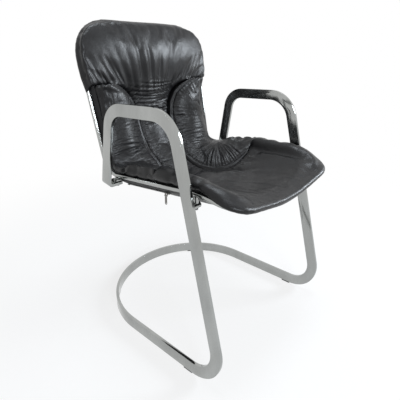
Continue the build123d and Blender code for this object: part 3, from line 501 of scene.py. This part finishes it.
def rubber(name, dark, light):
    mat, tree, shader = material(name)
    where = object_space(tree)
    dust = noise_tex(tree, where, scale=140.0, detail=5.0, rough=0.65)
    link(tree, ramp(tree, dust, ((0.35, dark), (0.8, light))), shader.inputs["Base Color"])
    link(tree, spread(tree, dust, 0.62, 0.85, 0.3, 0.75), shader.inputs["Roughness"])
    pores = noise_tex(tree, where, scale=1500.0, detail=2.0)
    link(tree, bump(tree, pores, distance=0.0002, strength=0.4), shader.inputs["Normal"])
    return mat


PAD_LEATHER = leather("pad_leather", dark=(0.0045, 0.0044, 0.0048), light=(0.0085, 0.0083, 0.009),
                      warm=(0.012, 0.0102, 0.0095), rough=(0.29, 0.43), pleated=True)
COVER_LEATHER = leather("cover_hide", dark=(0.006, 0.006, 0.0066), light=(0.011, 0.011, 0.012),
                        warm=(0.014, 0.0122, 0.0115), rough=(0.42, 0.58), pleated=False)
# The chrome's painted reflection bands go down to 0.78 of its colour in their dark parts.
CHROME = metal("chrome_bar", (0.41, 0.42, 0.41), rough=(0.07, 0.17), scratch=0.00004, painted_reflection_dim=0.78)
PLAIN = metal("plain_bar", (0.36, 0.36, 0.36), rough=(0.3, 0.45), scratch=0.0001)
ZINC = metal("zinc_screw", (0.30, 0.30, 0.31), rough=(0.28, 0.42), scratch=0.0001)
NICKEL = metal("nickel_zip", (0.19, 0.185, 0.175), rough=(0.22, 0.38), scratch=0.00008)
RUBBER = rubber("glide_rubber", (0.012, 0.012, 0.012), (0.035, 0.034, 0.033))
WEBBING = woven("strap_webbing", (0.012, 0.012, 0.012), (0.04, 0.04, 0.04), pitch=260.0)
TAPE = woven("zip_tape", (0.010, 0.010, 0.011), (0.028, 0.028, 0.03), pitch=520.0)
THREAD = woven("sewing_thread", (0.006, 0.006, 0.007), (0.02, 0.02, 0.022), pitch=900.0)


def dress(obj, mat):
    obj.data.materials.clear()
    obj.data.materials.append(mat)


def settle(obj, mat, replaced=(), body="chair"):
    """Gives a piece its material and its body, and hides the nodes that it replaces."""
    dress(obj, mat)
    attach(obj, body)
    if replaced:
        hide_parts(*replaced)
    return obj


# Rigid pieces: bevelled copies of the CAD shapes
BEVEL_FROM, SHARP_FROM, FLAT_UNDER = 38, 36, 0.4
SAME_POINT = 2e-6
CHROME_BEVELS = (("base_runner", 1.1), ("left_arm_bar", 1.1), ("right_arm_bar", 1.1), ("front_stubs", 0.8),
                 ("rear_barrels", 0.9), ("front_spacers", 0.5), ("left_side_rail", 0.3),
                 ("right_side_rail", 0.3), ("top_bow", 0.3), ("front_bow", 0.3))
SCREW_BEVEL, GLIDE_BEVEL, SLIDER_BEVEL, PULL_BEVEL, STRAP_BEVEL = 0.6, 0.8, 0.25, 0.4, 0.4


def bevelled(name, source, width, segments=3):
    co, tri = arrays(nodes[source].data)
    obj = make(name, co, tri)
    bm = bmesh.new()
    bm.from_mesh(obj.data)
    bmesh.ops.remove_doubles(bm, verts=bm.verts, dist=SAME_POINT)
    bmesh.ops.dissolve_limit(bm, angle_limit=math.radians(FLAT_UNDER), verts=bm.verts, edges=bm.edges)
    bmesh.ops.recalc_face_normals(bm, faces=bm.faces)
    bm.to_mesh(obj.data)
    bm.free()
    mod = obj.modifiers.new("bevel", "BEVEL")
    mod.limit_method = "ANGLE"
    mod.angle_limit = math.radians(BEVEL_FROM)
    mod.width = width * MM
    mod.segments = segments
    mod.use_clamp_overlap = True
    bake(obj)
    shade(obj.data, SHARP_FROM)
    return obj


for source, width in CHROME_BEVELS:
    settle(bevelled(source + "_bevelled", source, width), CHROME, (source,))
for source in ("rear_mount_screws", "front_mount_screws"):
    settle(bevelled(source + "_bevelled", source, SCREW_BEVEL), ZINC, (source,))
for source in ("front_glides", "rear_glides"):
    settle(bevelled(source + "_bevelled", source, GLIDE_BEVEL), RUBBER, (source,))
zip_slider = bevelled("zip_slider_bevelled", "zip_slider", SLIDER_BEVEL, segments=2)
settle(zip_slider, NICKEL, ("zip_slider",), "slider")
zip_pull = bevelled("zip_pull_bevelled", "zip_pull", PULL_BEVEL)
settle(zip_pull, NICKEL, ("zip_pull",), "pull")
for name in ("leg_joint_pins", "bow_pins", "stub_studs",
             "left_strap_tabs", "right_strap_tabs", "strap_rivets"):
    dress(nodes[name], PLAIN)
for name in ("zip_chain", "zip_stops"):
    dress(nodes[name], NICKEL)


# Padded pieces: what the middle and the wings share
PAD_VOXEL, WING_VOXEL = 0.005, 0.004
PAD_CAP, WING_CAP = 0.006, 0.005
AIR_PRESSURE, CLOTH_FRAMES = 4.0, 20
BORDER_RADIUS = 10.5


def seam_field(co):
    """Distance from the seam, and run along it, of points in metres; both in millimetres."""
    flat = co * TO_MM
    flat[:, 0] = np.abs(flat[:, 0])
    away, k = nearest(flat, seam_path)
    return away, seam_run[k]


def facing(mesh, co):
    """Each vertex's normal, and how much it faces the sitter, from -1 to 1."""
    tilt = np.interp(co[:, 2], [0.44, 0.52], [0.2, 1.35])
    n = vertex_normals(mesh)
    return n, n[:, 2] * np.cos(tilt) - n[:, 1] * np.sin(tilt)


def underside(front):
    """1 where a pad faces away from the sitter, down to 0 on its front."""
    return 1 - step(front, -0.1, 0.95)


def inflate(obj, hold, cap):
    """Cloth with air pressure inside: held points stay, and no point moves more than the cap."""
    group = obj.vertex_groups.new(name="held")
    for i in np.nonzero(hold > 0.02)[0]:
        group.add([int(i)], float(min(hold[i], 1.0)), "REPLACE")
    cloth = obj.modifiers.new("cloth", "CLOTH")
    cloth.settings.quality = 3
    cloth.settings.mass = 0.35
    cloth.settings.tension_stiffness = 15
    cloth.settings.compression_stiffness = 15
    cloth.settings.shear_stiffness = 8
    cloth.settings.bending_stiffness = 1.5
    cloth.settings.use_pressure = True
    cloth.settings.uniform_pressure_force = AIR_PRESSURE
    cloth.settings.effector_weights.gravity = 0
    cloth.settings.vertex_group_mass = "held"
    cloth.settings.shrink_min = -0.008
    cloth.collision_settings.use_collision = False
    start, _ = arrays(obj.data)
    for number in range(1, CLOTH_FRAMES + 1):
        scene.frame_set(number)
    swollen = bpy.data.meshes.new_from_object(obj.evaluated_get(bpy.context.evaluated_depsgraph_get()))
    moved, _ = arrays(swollen)
    bpy.data.meshes.remove(swollen)
    obj.modifiers.clear()
    obj.vertex_groups.clear()
    scene.frame_set(1)
    shift = np.nan_to_num(moved - start)
    size = np.linalg.norm(shift, axis=1).clip(1e-9)
    put(obj.data, start + shift * (cap * np.tanh(size / cap) / size)[:, None])


def swell(obj, hold, cap):
    """The cloth pass, evened out, and then a finer mesh."""
    inflate(obj, hold, cap)
    relax(obj.data, 4)
    subdivide(obj)


def seat_border(rows):
    """Stations of a border beside the seat, from rows of y, how far inside the rod and how far above it."""
    return [(seat_station(y), seat_rail_x(y), inside, above) for y, inside, above in rows]


def side_band(side, rows):
    """The stuffed border along a rod, from stations with the rod's x, how far inside it and how far above."""
    points = [lifted(station, side * (rod - inside), above) for station, rod, inside, above in rows]
    path, _ = resample(points, ROLL_PITCH)
    ends = np.minimum(np.arange(len(path)), np.arange(len(path))[::-1])
    return tube(path * MM, BORDER_RADIUS * MM * np.interp(ends, [0, 8], [0.35, 1.0]))


def border_dents(rng, x, y, span, where, widest, longest):
    """Gathered dents along a side border of the seat, at uneven distances, as heights in millimetres."""
    dents = np.zeros(len(x))
    place, stop = span
    while place < stop:
        u = y - place - rng.uniform(-0.7, 0.7) * (np.abs(x) - RAIL_X)
        depth, width = rng.uniform(1.0, 4.0), rng.uniform(5, widest)
        dents -= depth * bell(u, width) * where
        place += rng.uniform(26, longest)
    return dents


def press(mesh, co, normals, height):
    """Moves points along their normals by heights in millimetres."""
    put(mesh, co + normals * (height * MM)[:, None])
    relax(mesh, 1)


def mark_pleats(mesh, run, away, layer, amount):
    """The fields that steer the leather's fine pleats."""
    attribute(mesh, "flow", np.stack([run * MM, away * MM, np.full(len(run), layer)], 1))
    attribute(mesh, "pleat", amount)


# The middle of the sling: pillow, waist, seat and the two edge rolls in one pad
SEAT_BORDER = seat_border(((20, 6, 16), (-10, 5, 16.5), (-40, 5, 17), (-80, 5, 17), (-120, 6, 16),
                           (-150, 8, 13), (-185, 10, 8)))
FILL_MIDDLE, FILL_RADIUS = np.array([130.0, -190.0, 445.0]), 9.0
CORNER_FILLS = ((0.86, 3.0), (0.72, 5.0), (0.56, 6.0))
WAIST_Z = 622.0
_, waist_spot = nearest(np.array([[0, back_y(WAIST_Z), WAIST_Z]]), spine_path)
waist_q = spine_run[waist_spot[0]]
WRINKLES, WRINKLE_PITCH = 12, 8.0
# How strong the pad's pleats are along the seam.
PLEAT_AT, PLEAT_STRONG = (0, 60, 140, 230, 300, 360, 460), (0.4, 0.9, 0.5, 0.8, 1.0, 0.35, 0.1)
FOLDS, FOLD_FOOT = (-92, -70, -49, -33, -17, -3, 12, 27, 44, 62, 84), 655
SLACK, OVERHANG_Z = (112, 131, 150, 169, 187, 203), 674


def pad_shell():
    """The CAD cushions with their rolls and borders, run together into one skin."""
    parts = [arrays(nodes[n].data) for n in ("back_cushion", "waist_panel", "seat_cushion")]
    parts.append(tube(top_loop * MM, top_radius * MM))
    parts.append(tube(front_line * MM, front_radius * MM))
    parts += [side_band(side, SEAT_BORDER) for side in (-1, 1)]
    # The stuffing goes on into the seat's front corners.
    for side in (-1, 1):
        for shrink, lift in CORNER_FILLS:
            corner = FILL_MIDDLE + (front_corner - FILL_MIDDLE) * (shrink, shrink, 1) + (0, 0, lift)
            parts.append(tube((corner * (side, 1, 1))[1:-1] * MM, FILL_RADIUS * MM))
    pad = make("sling_pad", *joined(parts))
    remesh(pad, PAD_VOXEL)
    co, _ = arrays(pad.data)
    x, y, z = (co * TO_MM).T
    # The pillow flows into the waist in the middle, and the seat over the front roll.
    blend_in = step(-np.abs(x), -150, -85) * bell(z - 660, 42)
    corners = step(-y, 165, 195) * step(np.abs(x), 150, 190)
    lip = np.maximum(step(-y, 205, 250), corners) * (z < 520)
    melt(pad.data, blend_in, 110)
    melt(pad.data, lip, 14)
    relax(pad.data, 10)
    return pad


def pad_hold(mesh):
    """Where the cloth pass holds the pad: underneath, along the seam and on the rolled edges."""
    co, _ = arrays(mesh)
    mm = co * TO_MM
    _, front = facing(mesh, co)
    away, _ = seam_field(co)
    pillow = step(mm[:, 2], 655, 690)
    rolled = np.maximum(bell(nearest(mm, top_loop)[0], 17), bell(nearest(mm, front_line)[0], 22))
    return np.maximum(np.maximum(underside(front), bell(away, 22) * (1 - pillow)), rolled)


def waist_wrinkles(height, rng, x, q, away):
    """Wrinkles right across the waist, below the pillow."""
    for i in range(WRINKLES):
        place = waist_q + (i - WRINKLES / 2) * WRINKLE_PITCH + rng.uniform(-2.0, 2.0)
        width, depth = rng.uniform(1.8, 3.0), rng.uniform(0.9, 2.1)
        u = q - place - 9.0 * (x / 90.0) ** 2 - rng.uniform(-0.05, 0.05) * x
        reach = bell(x - rng.uniform(-25, 25), rng.uniform(45, 85))
        height += depth * groove(u, width) * reach * step(away, 0, 8)


def seam_pleats(height, rng, run, away, below):
    """Pleats that start square to the seam."""
    place = 24.0
    while place < seam_run[-1] - 40:
        strong = np.interp(place, PLEAT_AT, PLEAT_STRONG)
        u = run - place - rng.uniform(-0.25, 0.25) * away
        depth, width, reach = rng.uniform(0.8, 2.4), rng.uniform(1.8, 3.4), rng.uniform(16, 46)
        height += strong * depth * groove(u, width) * bell(away, reach) * step(away, 1, 9) * below
        place += rng.uniform(8.5, 15.0)


def pillow_folds(height, rng, x, z):
    """Upright folds in the pillow, gathered at the waist and fanning out upward."""
    rise = z - FOLD_FOOT
    fan = x / (1 + 0.75 * np.clip(rise, 0, 200) / 170)
    for place in FOLDS:
        strong = 1.0 if abs(place) < 55 else 0.5
        width, depth = rng.uniform(4.2, 7.0), rng.uniform(1.6, 3.2) * strong
        u = fan - place - rng.uniform(-4, 4) - rng.uniform(-0.07, 0.07) * rise
        reach = bell(np.clip(rise - 25, 0, None), rng.uniform(45, 110))
        height += depth * groove(u, width) * step(rise, -34, 12) * reach


def overhang_slack(height, rng, x, z):
    """Slack where the pillow overhangs the wings."""
    for side in (-1, 1):
        for place in SLACK:
            u = side * x - place - rng.uniform(-5, 5) - 0.6 * (z - 672)
            width, reach = rng.uniform(3.0, 4.6), rng.uniform(26, 44)
            height += 1.7 * groove(u, width) * step(z, 662, OVERHANG_Z) * bell(z - OVERHANG_Z, reach)


def sling_pad():
    pad = pad_shell()
    swell(pad, pad_hold(pad.data), PAD_CAP)
    co, _ = arrays(pad.data)
    normals, front = facing(pad.data, co)
    front = step(front, -0.05, 0.5)
    x, y, z = (co * TO_MM).T
    away, run = seam_field(co)
    _, k = nearest(np.stack([np.zeros(len(co)), y, z], 1), spine_path)
    q = spine_run[k]
    below = step(-z, -672, -650)
    rng = np.random.default_rng(11)
    # Tucked down along the seam.
    height = -3.4 * bell(away, 8.0) * below
    waist_wrinkles(height, rng, x, q, away)
    seam_pleats(height, rng, run, away, below)
    pillow_folds(height, rng, x, z)
    overhang_slack(height, rng, x, z)
    dents = np.zeros(len(co))
    for side in (-1, 1):
        border = step(side * x, 194, 216) * (z < 560)
        dents += border_dents(rng, x, y, (-172.0, 10), border, widest=13, longest=60)
    # Broad unevenness of soft filling.
    lumps = [noise.noise(Vector(p) * 11.0) + 0.5 * noise.noise(Vector(p) * 26.0) for p in co]
    height += 1.1 * np.array(lumps)
    press(pad.data, co, normals, height * front + dents)
    waist = bell(q - waist_q, 45) * bell(x, 110)
    mark_pleats(pad.data, run, away, 0.0, (0.9 * bell(away, 42) * below + 0.8 * waist + 0.1) * front)
    shade(pad.data)
    settle(pad, PAD_LEATHER,
           ("back_cushion", "waist_panel", "seat_cushion", "top_roll", "front_roll"))


sling_pad()


# The two wings, with a rolled rim and a stitched groove along the seam
bend_rows = [(bend_station(share), inside, above)
             for share, inside, above in ((0.1, 17, 18), (0.45, 13, 17), (0.8, 9, 16))]
WING_BORDER = [(station, bend_rail_x(station), inside, above) for station, inside, above in bend_rows]
WING_BORDER += seat_border(((100, 7, 16), (60, 6, 16), (20, 6, 16), (-14, 7, 16)))
RIM, STITCH_IN = 5.0, 11.5
# How strong the wings' pleats are along the seam.
RUCHE_AT, RUCHE_STRONG = (0, 40, 90, 160, 220, 320, 460), (0.45, 0.4, 0.28, 0.35, 0.9, 1.0, 0.7)
STITCH_PITCH, STITCH_RADIUS, STITCH_SIDES = 6.0, 0.42, 6
# A stitch dips into the leather at both ends: its points along the seam, and their heights.
STITCH = ((-2.2, -0.3), (-1.6, 0.25), (-0.6, 0.45), (0.6, 0.45), (1.6, 0.25), (2.2, -0.3))


def wing_ruches(height, rng, run, away):
    """Pleats across the wing, drawn up along the seam."""
    place = 6.0
    while place < seam_run[-1] - 12:
        strong = np.interp(place, RUCHE_AT, RUCHE_STRONG)
        u = run - place - rng.uniform(-0.18, 0.18) * away
        depth, width, reach = rng.uniform(0.6, 2.2), rng.uniform(1.7, 3.2), rng.uniform(35, 120)
        height += strong * depth * groove(u, width) * step(away, 9, 16) * bell(away, reach)
        place += rng.uniform(7.0, 13.0)


def wing_pad(side, source):
    """One wing; also returns its points' distance from the seam and run along it."""
    wing = make(source + "_pad", *joined([arrays(nodes[source].data), side_band(side, WING_BORDER)]))
    remesh(wing, WING_VOXEL)
    relax(wing.data, 8)
    co, _ = arrays(wing.data)
    _, front = facing(wing.data, co)
    away, _ = seam_field(co)
    swell(wing, np.maximum(underside(front), bell(away, 14)), WING_CAP)
    co, _ = arrays(wing.data)
    normals, front = facing(wing.data, co)
    front = step(front, -0.25, 0.35)
    x, y, z = (co * TO_MM).T
    away, run = seam_field(co)
    rng = np.random.default_rng(23 + side)
    # A rolled rim along the seam, with a sewn groove beside it.
    height = 4.2 * bell(away - RIM, 5.0) - 2.2 * bell(away - STITCH_IN, 2.4)
    wing_ruches(height, rng, run, away)
    # Pulled down along the rod, and gathered over the border of the seat.
    outer = np.where(z > 500, back_rail_x(z), seat_rail_x(y)) - np.abs(x)
    pulled = 1.6 * groove(outer - 34 - 6 * np.sin(z / 31.0), 5.0) + 1.2 * groove(outer - 20, 3.6)
    height += pulled * step(z, 520, 560)
    border = step(-outer, -28, -8) * (z < 500)
    dents = border_dents(rng, x, y, (-12.0, 130), border, widest=12, longest=56)
    lumps = np.array([noise.noise(Vector(p) * 14.0 + Vector((3.1 * side, 0, 0))) for p in co])
    height += 0.9 * lumps * step(away, 6, 30)
    press(wing.data, co, normals, height * front + dents)
    amount = step(away, 10, 22) * np.interp(run, RUCHE_AT, RUCHE_STRONG) * 0.8 * front
    mark_pleats(wing.data, run, away, 0.01 * side, amount)
    shade(wing.data)
    settle(wing, PAD_LEATHER, (source,))
    return wing, away, run


def stitch_row(source, wing, away, run):
    """Stitches in the groove of a wing, each one a short bent thread."""
    co, _ = arrays(wing.data)
    normals, front = facing(wing.data, co)
    hidden = np.where(front > 0.1, 0, 1e6)
    spots, ups = [], []
    for place in np.arange(14.0, seam_run[-1] - 8, STITCH_PITCH / 2):
        cost = (away - STITCH_IN) ** 2 + (run - place) ** 2 + hidden
        close = np.argsort(cost)[:6]
        spots.append(co[close].mean(0))
        ups.append(normals[close].mean(0))
    spots = np.array(spots)
    smooth_row(spots, 3)
    parts = []
    for i in range(1, len(spots) - 1, 2):
        ahead = spots[i + 1] - spots[i - 1]
        ahead /= np.linalg.norm(ahead)
        lift = ups[i] / np.linalg.norm(ups[i])
        line = [spots[i] + ahead * a * MM + lift * h * MM for a, h in STITCH]
        parts.append(tube(line, STITCH_RADIUS * MM, STITCH_SIDES))
    stitches = make(source + "_stitches", *joined(parts))
    shade(stitches.data)
    settle(stitches, THREAD)


for side, source in ((-1, "left_wing"), (1, "right_wing")):
    stitch_row(source, *wing_pad(side, source))


# Covers behind and below, straps and zip tape
COVER_GAP, COVER_THICK, COVER_HALF = 9.4, 2.5, 203.0
COVER_PITCH, COVER_COLUMNS, LIP_POINTS, COVER_SHARP = 4.0, 85, 13, 50
SLING_HALF, SLING_TOP = STUB_X + 5.0, 12.5
# A cover's edge climbs past the rod through these places: how far inside it, and the height.
LIP = ((8.8, -6.5), (7.2, -1.0), (6.9, 3.5))
# Where a cover narrows by more than this at its end, its edge turns up further in.
NARROW_FROM, NARROW_INSET = 10, 30


def sling_v(x, sag):
    """Height of the sling's round line above the rods' plane."""
    rise = SLING_TOP - sag
    radius = (SLING_HALF * SLING_HALF + rise * rise) / (2 * rise)
    return sag + radius - np.sqrt(radius * radius - x * x)


def turned_edge(half, start_v, rod, end_x, end_v):
    """The edge of a cover's section, from its half width up along the rod to the pads, as x and height."""
    guide = np.array([(half, start_v), *((rod - inside, v) for inside, v in LIP), (end_x, end_v)])
    guide[1:-1, 0] = np.maximum(guide[1:-1, 0], half + 0.5)
    guide[1:-1, 1] = np.minimum(guide[1:-1, 1], end_v)
    edge, _ = resample(guide, LINE_PITCH)
    old, new = np.linspace(0, 1, len(edge)), np.linspace(0, 1, LIP_POINTS)
    edge = np.stack([np.interp(new, old, edge[:, k]) for k in (0, 1)], 1)
    smooth_row(edge, 2)
    return edge[1:]


def cover_grid(rows):
    """A cover's middle surface as a grid of points. Each row is a station, the sag, the half width,
    the rod's x and the edge's last x and height."""
    table = np.array([[*place, *normal, *rest] for (place, normal), *rest in rows])
    run = run_along(table[:, :2])
    at = np.linspace(0, run[-1], int(run[-1] / COVER_PITCH))
    fine = np.stack([np.interp(at, run, table[:, k]) for k in range(table.shape[1])], 1)
    smooth_row(fine, 6)
    across = np.linspace(-1, 1, COVER_COLUMNS)
    grid = []
    for y, z, ny, nz, sag, half, rod, end_x, end_v in fine:
        size = math.hypot(ny, nz)
        xs = half * across
        vs = sling_v(xs, sag) - COVER_GAP - COVER_THICK / 2
        edge = turned_edge(half, vs[-1], rod, end_x, end_v)
        xs = np.concatenate([-edge[::-1, 0], xs, edge[:, 0]])
        vs = np.concatenate([edge[::-1, 1], vs, edge[:, 1]])
        grid.append(np.stack([xs, y + ny / size * vs, z + nz / size * vs], 1))
    return np.array(grid)


def cover(name, source, rows):
    """A leather cover below the sling, whose edges turn up along the rods to the pads."""
    grid = cover_grid(rows)
    count, cols = grid.shape[:2]
    n = np.cross(np.gradient(grid, axis=0), np.gradient(grid, axis=1))
    n /= np.linalg.norm(n, axis=2)[:, :, None].clip(1e-9)
    slack = [noise.noise(p * 0.016) + 0.5 * noise.noise(p * 0.045) for p in map(Vector, grid.reshape(-1, 3))]
    grid = grid + n * (0.7 * np.array(slack)).reshape(count, cols, 1)
    half = n * COVER_THICK / 2
    verts = np.vstack([(grid + half).reshape(-1, 3), (grid - half).reshape(-1, 3)]) * MM
    total = count * cols
    faces = []
    for i in range(count - 1):
        for j in range(cols - 1):
            p = i * cols + j
            face = (p, p + 1, p + cols + 1, p + cols)
            faces += [face, tuple(total + corner for corner in (face[0], face[3], face[2], face[1]))]
    ring = list(range(cols)) + [i * cols + cols - 1 for i in range(1, count)]
    ring += [(count - 1) * cols + j for j in range(cols - 2, -1, -1)]
    ring += [i * cols for i in range(count - 2, 0, -1)]
    faces += [(p, total + p, total + r, r) for p, r in zip(ring, ring[1:] + ring[:1])]
    obj = make(name, verts, faces)
    bm = bmesh.new()
    bm.from_mesh(obj.data)
    bmesh.ops.recalc_face_normals(bm, faces=bm.faces)
    bm.to_mesh(obj.data)
    bm.free()
    shade(obj.data, COVER_SHARP)
    return settle(obj, COVER_LEATHER, (source,))


def cover_row(station, rail_x, narrow, sag, end, end_v):
    """A row for a cover that is narrower by one length on each side and ends inside the rod by another."""
    rod = rail_x - (NARROW_INSET if narrow > NARROW_FROM else 0)
    return station, sag, COVER_HALF - narrow, rod, rail_x - end, end_v


# Rows of the rear cover: the drop from the bow, then what cover_row takes.
REAR_ROWS = ((340.7, 0, -45, 10, 14), (257, 0, -45, 13, 13), (173.8, 0, -45, 13.5, 16),
             (148, 0, -44.6, 8, 17), (122.7, 0, -44, 7, 15), (110, 0, -39, 8, 4), (85.2, 0, -28, 8, 1),
             (45.7, 2, -10, 8, -1), (18.1, 31, 2, 38, 1), (8.0, 42, 4.5, 48, 2))
# Rows of the lower cover: a start on the back, shares of the bend, then shares of its run below the seat.
UNDER_START = BEND_TOP + 8
UNDER_BEND = ((0.33, 0, -55, 9, 14), (0.67, 0, -65, 7.5, 14), (1.0, 0, -71.5, 6, 14))
UNDER_RUN = 382.7
UNDER_SEAT = ((0.13, 0, -72, 5, 14), (0.28, 0, -72, 3, 15), (0.43, 0, -72, 3, 16), (0.58, 0, -72, 3, 16),
              (0.73, 0, -72, 3, 14), (0.87, 2, -71, 5, 3), (1.0, 33, -59, 38, -20), (1.036, 46, -51, 50, -24))

rear_rows = []
for drop, *rest in REAR_ROWS:
    z = BOW_Z - drop
    rear_rows.append(cover_row(back_station(z), back_rail_x(z), *rest))
rear = cover("rear_cover_hide", "rear_cover", rear_rows)

under_rows = [cover_row(back_station(UNDER_START), back_rail_x(UNDER_START), 0, -45, 10, 14)]
for share, *rest in UNDER_BEND:
    station = bend_station(share)
    under_rows.append(cover_row(station, bend_rail_x(station), *rest))
for share, *rest in UNDER_SEAT:
    y = BEND_FRONT - share * UNDER_RUN
    under_rows.append(cover_row(seat_station(y), seat_rail_x(y), *rest))
under = cover("under_cover_hide", "under_cover", under_rows)

STRAP_SEATS = ["left_strap_tabs", "right_strap_tabs"]
for source, mat, slot, flat, seats in (
        ("back_straps", WEBBING, "webbing", (0.17, 0.435), STRAP_SEATS),
        ("seat_straps", WEBBING, "webbing", (0.204, 0.46), STRAP_SEATS),
        ("zip_tape", TAPE, "zip_cloth", (0.012, 0.163), ["under_cover_hide"])):
    piece = settle(bevelled(source + "_woven", source, STRAP_BEVEL, segments=2), mat, (source,))


# Camera, solved from the frame's mirrored bars in the photograph
YAW, PITCH, ROLL = math.radians(48.88), math.radians(17.8), math.radians(0.46)
EYE = (-767.34, -652.98, 761.40)
ahead = Vector((math.sin(YAW) * math.cos(PITCH), math.cos(YAW) * math.cos(PITCH), -math.sin(PITCH)))
level = Vector((math.cos(YAW), -math.sin(YAW), 0))
over = level.cross(ahead)
right = level * math.cos(ROLL) + over * math.sin(ROLL)
up = over * math.cos(ROLL) - level * math.sin(ROLL)
view = bpy.data.cameras.new("camera")
view.lens, view.sensor_width = 32.93, 36.0
view.shift_x, view.shift_y = -0.00125, -0.0838
camera = bpy.data.objects.new("camera", view)
turn = Matrix((right, up, -ahead)).transposed().to_4x4()
camera.matrix_world = Matrix.Translation(Vector(EYE) * MM) @ turn
scene.collection.objects.link(camera)
scene.camera = camera

# Floor, background and lamps, in metres
FLOOR_HALF = 14
SHADOW_NEAR, SHADOW_FAR, WHITE_NEAR = 0.35, 1.6, 0.78
SKY_COLOUR, SKY_STRENGTH = (0.95, 0.97, 1.0, 1), 0.25
LAMP_COLOUR = (0.86, 0.93, 1.0)


def seen_rays(tree):
    """1 for rays that show the background: straight, in a mirror or through glass."""
    path = node(tree, "ShaderNodeLightPath")
    seen = path.outputs["Is Camera Ray"]
    for name in ("Is Glossy Ray", "Is Transmission Ray"):
        both = node(tree, "ShaderNodeMath", operation="MAXIMUM")
        link(tree, seen, both.inputs[0])
        link(tree, path.outputs[name], both.inputs[1])
        seen = both.outputs[0]
    return seen


def floor_pale():
    """A pale floor that turns to plain white away from the chair, and keeps its shadow near it."""
    mat, tree, shader = material("floor_pale")
    where = object_space(tree)
    speck = noise_tex(tree, where, scale=60.0)
    tone = ramp(tree, speck, ((0.3, (0.87, 0.87, 0.87)), (0.7, (0.9, 0.9, 0.9))))
    link(tree, tone, shader.inputs["Base Color"])
    shader.inputs["Roughness"].default_value = 0.9
    shader.inputs["Specular IOR Level"].default_value = 0.1
    reach = node(tree, "ShaderNodeVectorMath", operation="LENGTH")
    link(tree, where, reach.inputs[0])
    fade = spread(tree, reach.outputs["Value"], WHITE_NEAR, 1.0, SHADOW_NEAR, SHADOW_FAR,
                  interpolation_type="SMOOTHSTEP")
    white = node(tree, "ShaderNodeEmission")
    white.inputs["Strength"].default_value = 1.0
    mixed = node(tree, "ShaderNodeMixShader")
    link(tree, times(tree, fade, seen_rays(tree)), mixed.inputs["Fac"])
    link(tree, shader.outputs["BSDF"], mixed.inputs[1])
    link(tree, white.outputs[0], mixed.inputs[2])
    out = next(n for n in tree.nodes if n.type == "OUTPUT_MATERIAL")
    link(tree, mixed.outputs[0], out.inputs["Surface"])
    return mat


def background(tree, colour, strength):
    n = node(tree, "ShaderNodeBackground")
    n.inputs["Color"].default_value = colour
    n.inputs["Strength"].default_value = strength
    return n.outputs[0]


def studio():
    """Soft light all round, which the eye, mirrors and glass see as plain white."""
    world = bpy.data.worlds.new("studio")
    world.use_nodes = True
    tree = world.node_tree
    tree.nodes.clear()
    out = tree.nodes.new("ShaderNodeOutputWorld")
    pick = node(tree, "ShaderNodeMixShader")
    link(tree, seen_rays(tree), pick.inputs["Fac"])
    link(tree, background(tree, SKY_COLOUR, SKY_STRENGTH), pick.inputs[1])
    link(tree, background(tree, (1, 1, 1, 1), 1.0), pick.inputs[2])
    link(tree, pick.outputs[0], out.inputs["Surface"])
    return world


def lamp(name, place, target, size, power):
    light = bpy.data.lights.new(name, "AREA")
    light.shape = "RECTANGLE"
    light.size, light.size_y = size
    light.energy = power
    light.color = LAMP_COLOUR
    obj = bpy.data.objects.new(name, light)
    obj.location = place
    obj.rotation_euler = (Vector(target) - Vector(place)).to_track_quat("-Z", "Y").to_euler()
    scene.collection.objects.link(obj)


floor_corners = [(FLOOR_HALF * x, FLOOR_HALF * y, 0) for x, y in ((-1, -1), (1, -1), (1, 1), (-1, 1))]
floor = make("floor", floor_corners, [(0, 1, 2, 3)])
dress(floor, floor_pale())
scene.world = studio()
lamp("key", place=(2.05, -1.7, 1.5), target=(0, 0.15, 0.7), size=(0.9, 0.9), power=72)
lamp("fill", place=(-1.15, -2.45, 1.35), target=(0, 0.1, 0.6), size=(0.7, 0.7), power=36)
lamp("top", place=(0.25, -0.1, 2.8), target=(0, -0.15, 0.4), size=(0.6, 1.2), power=30)
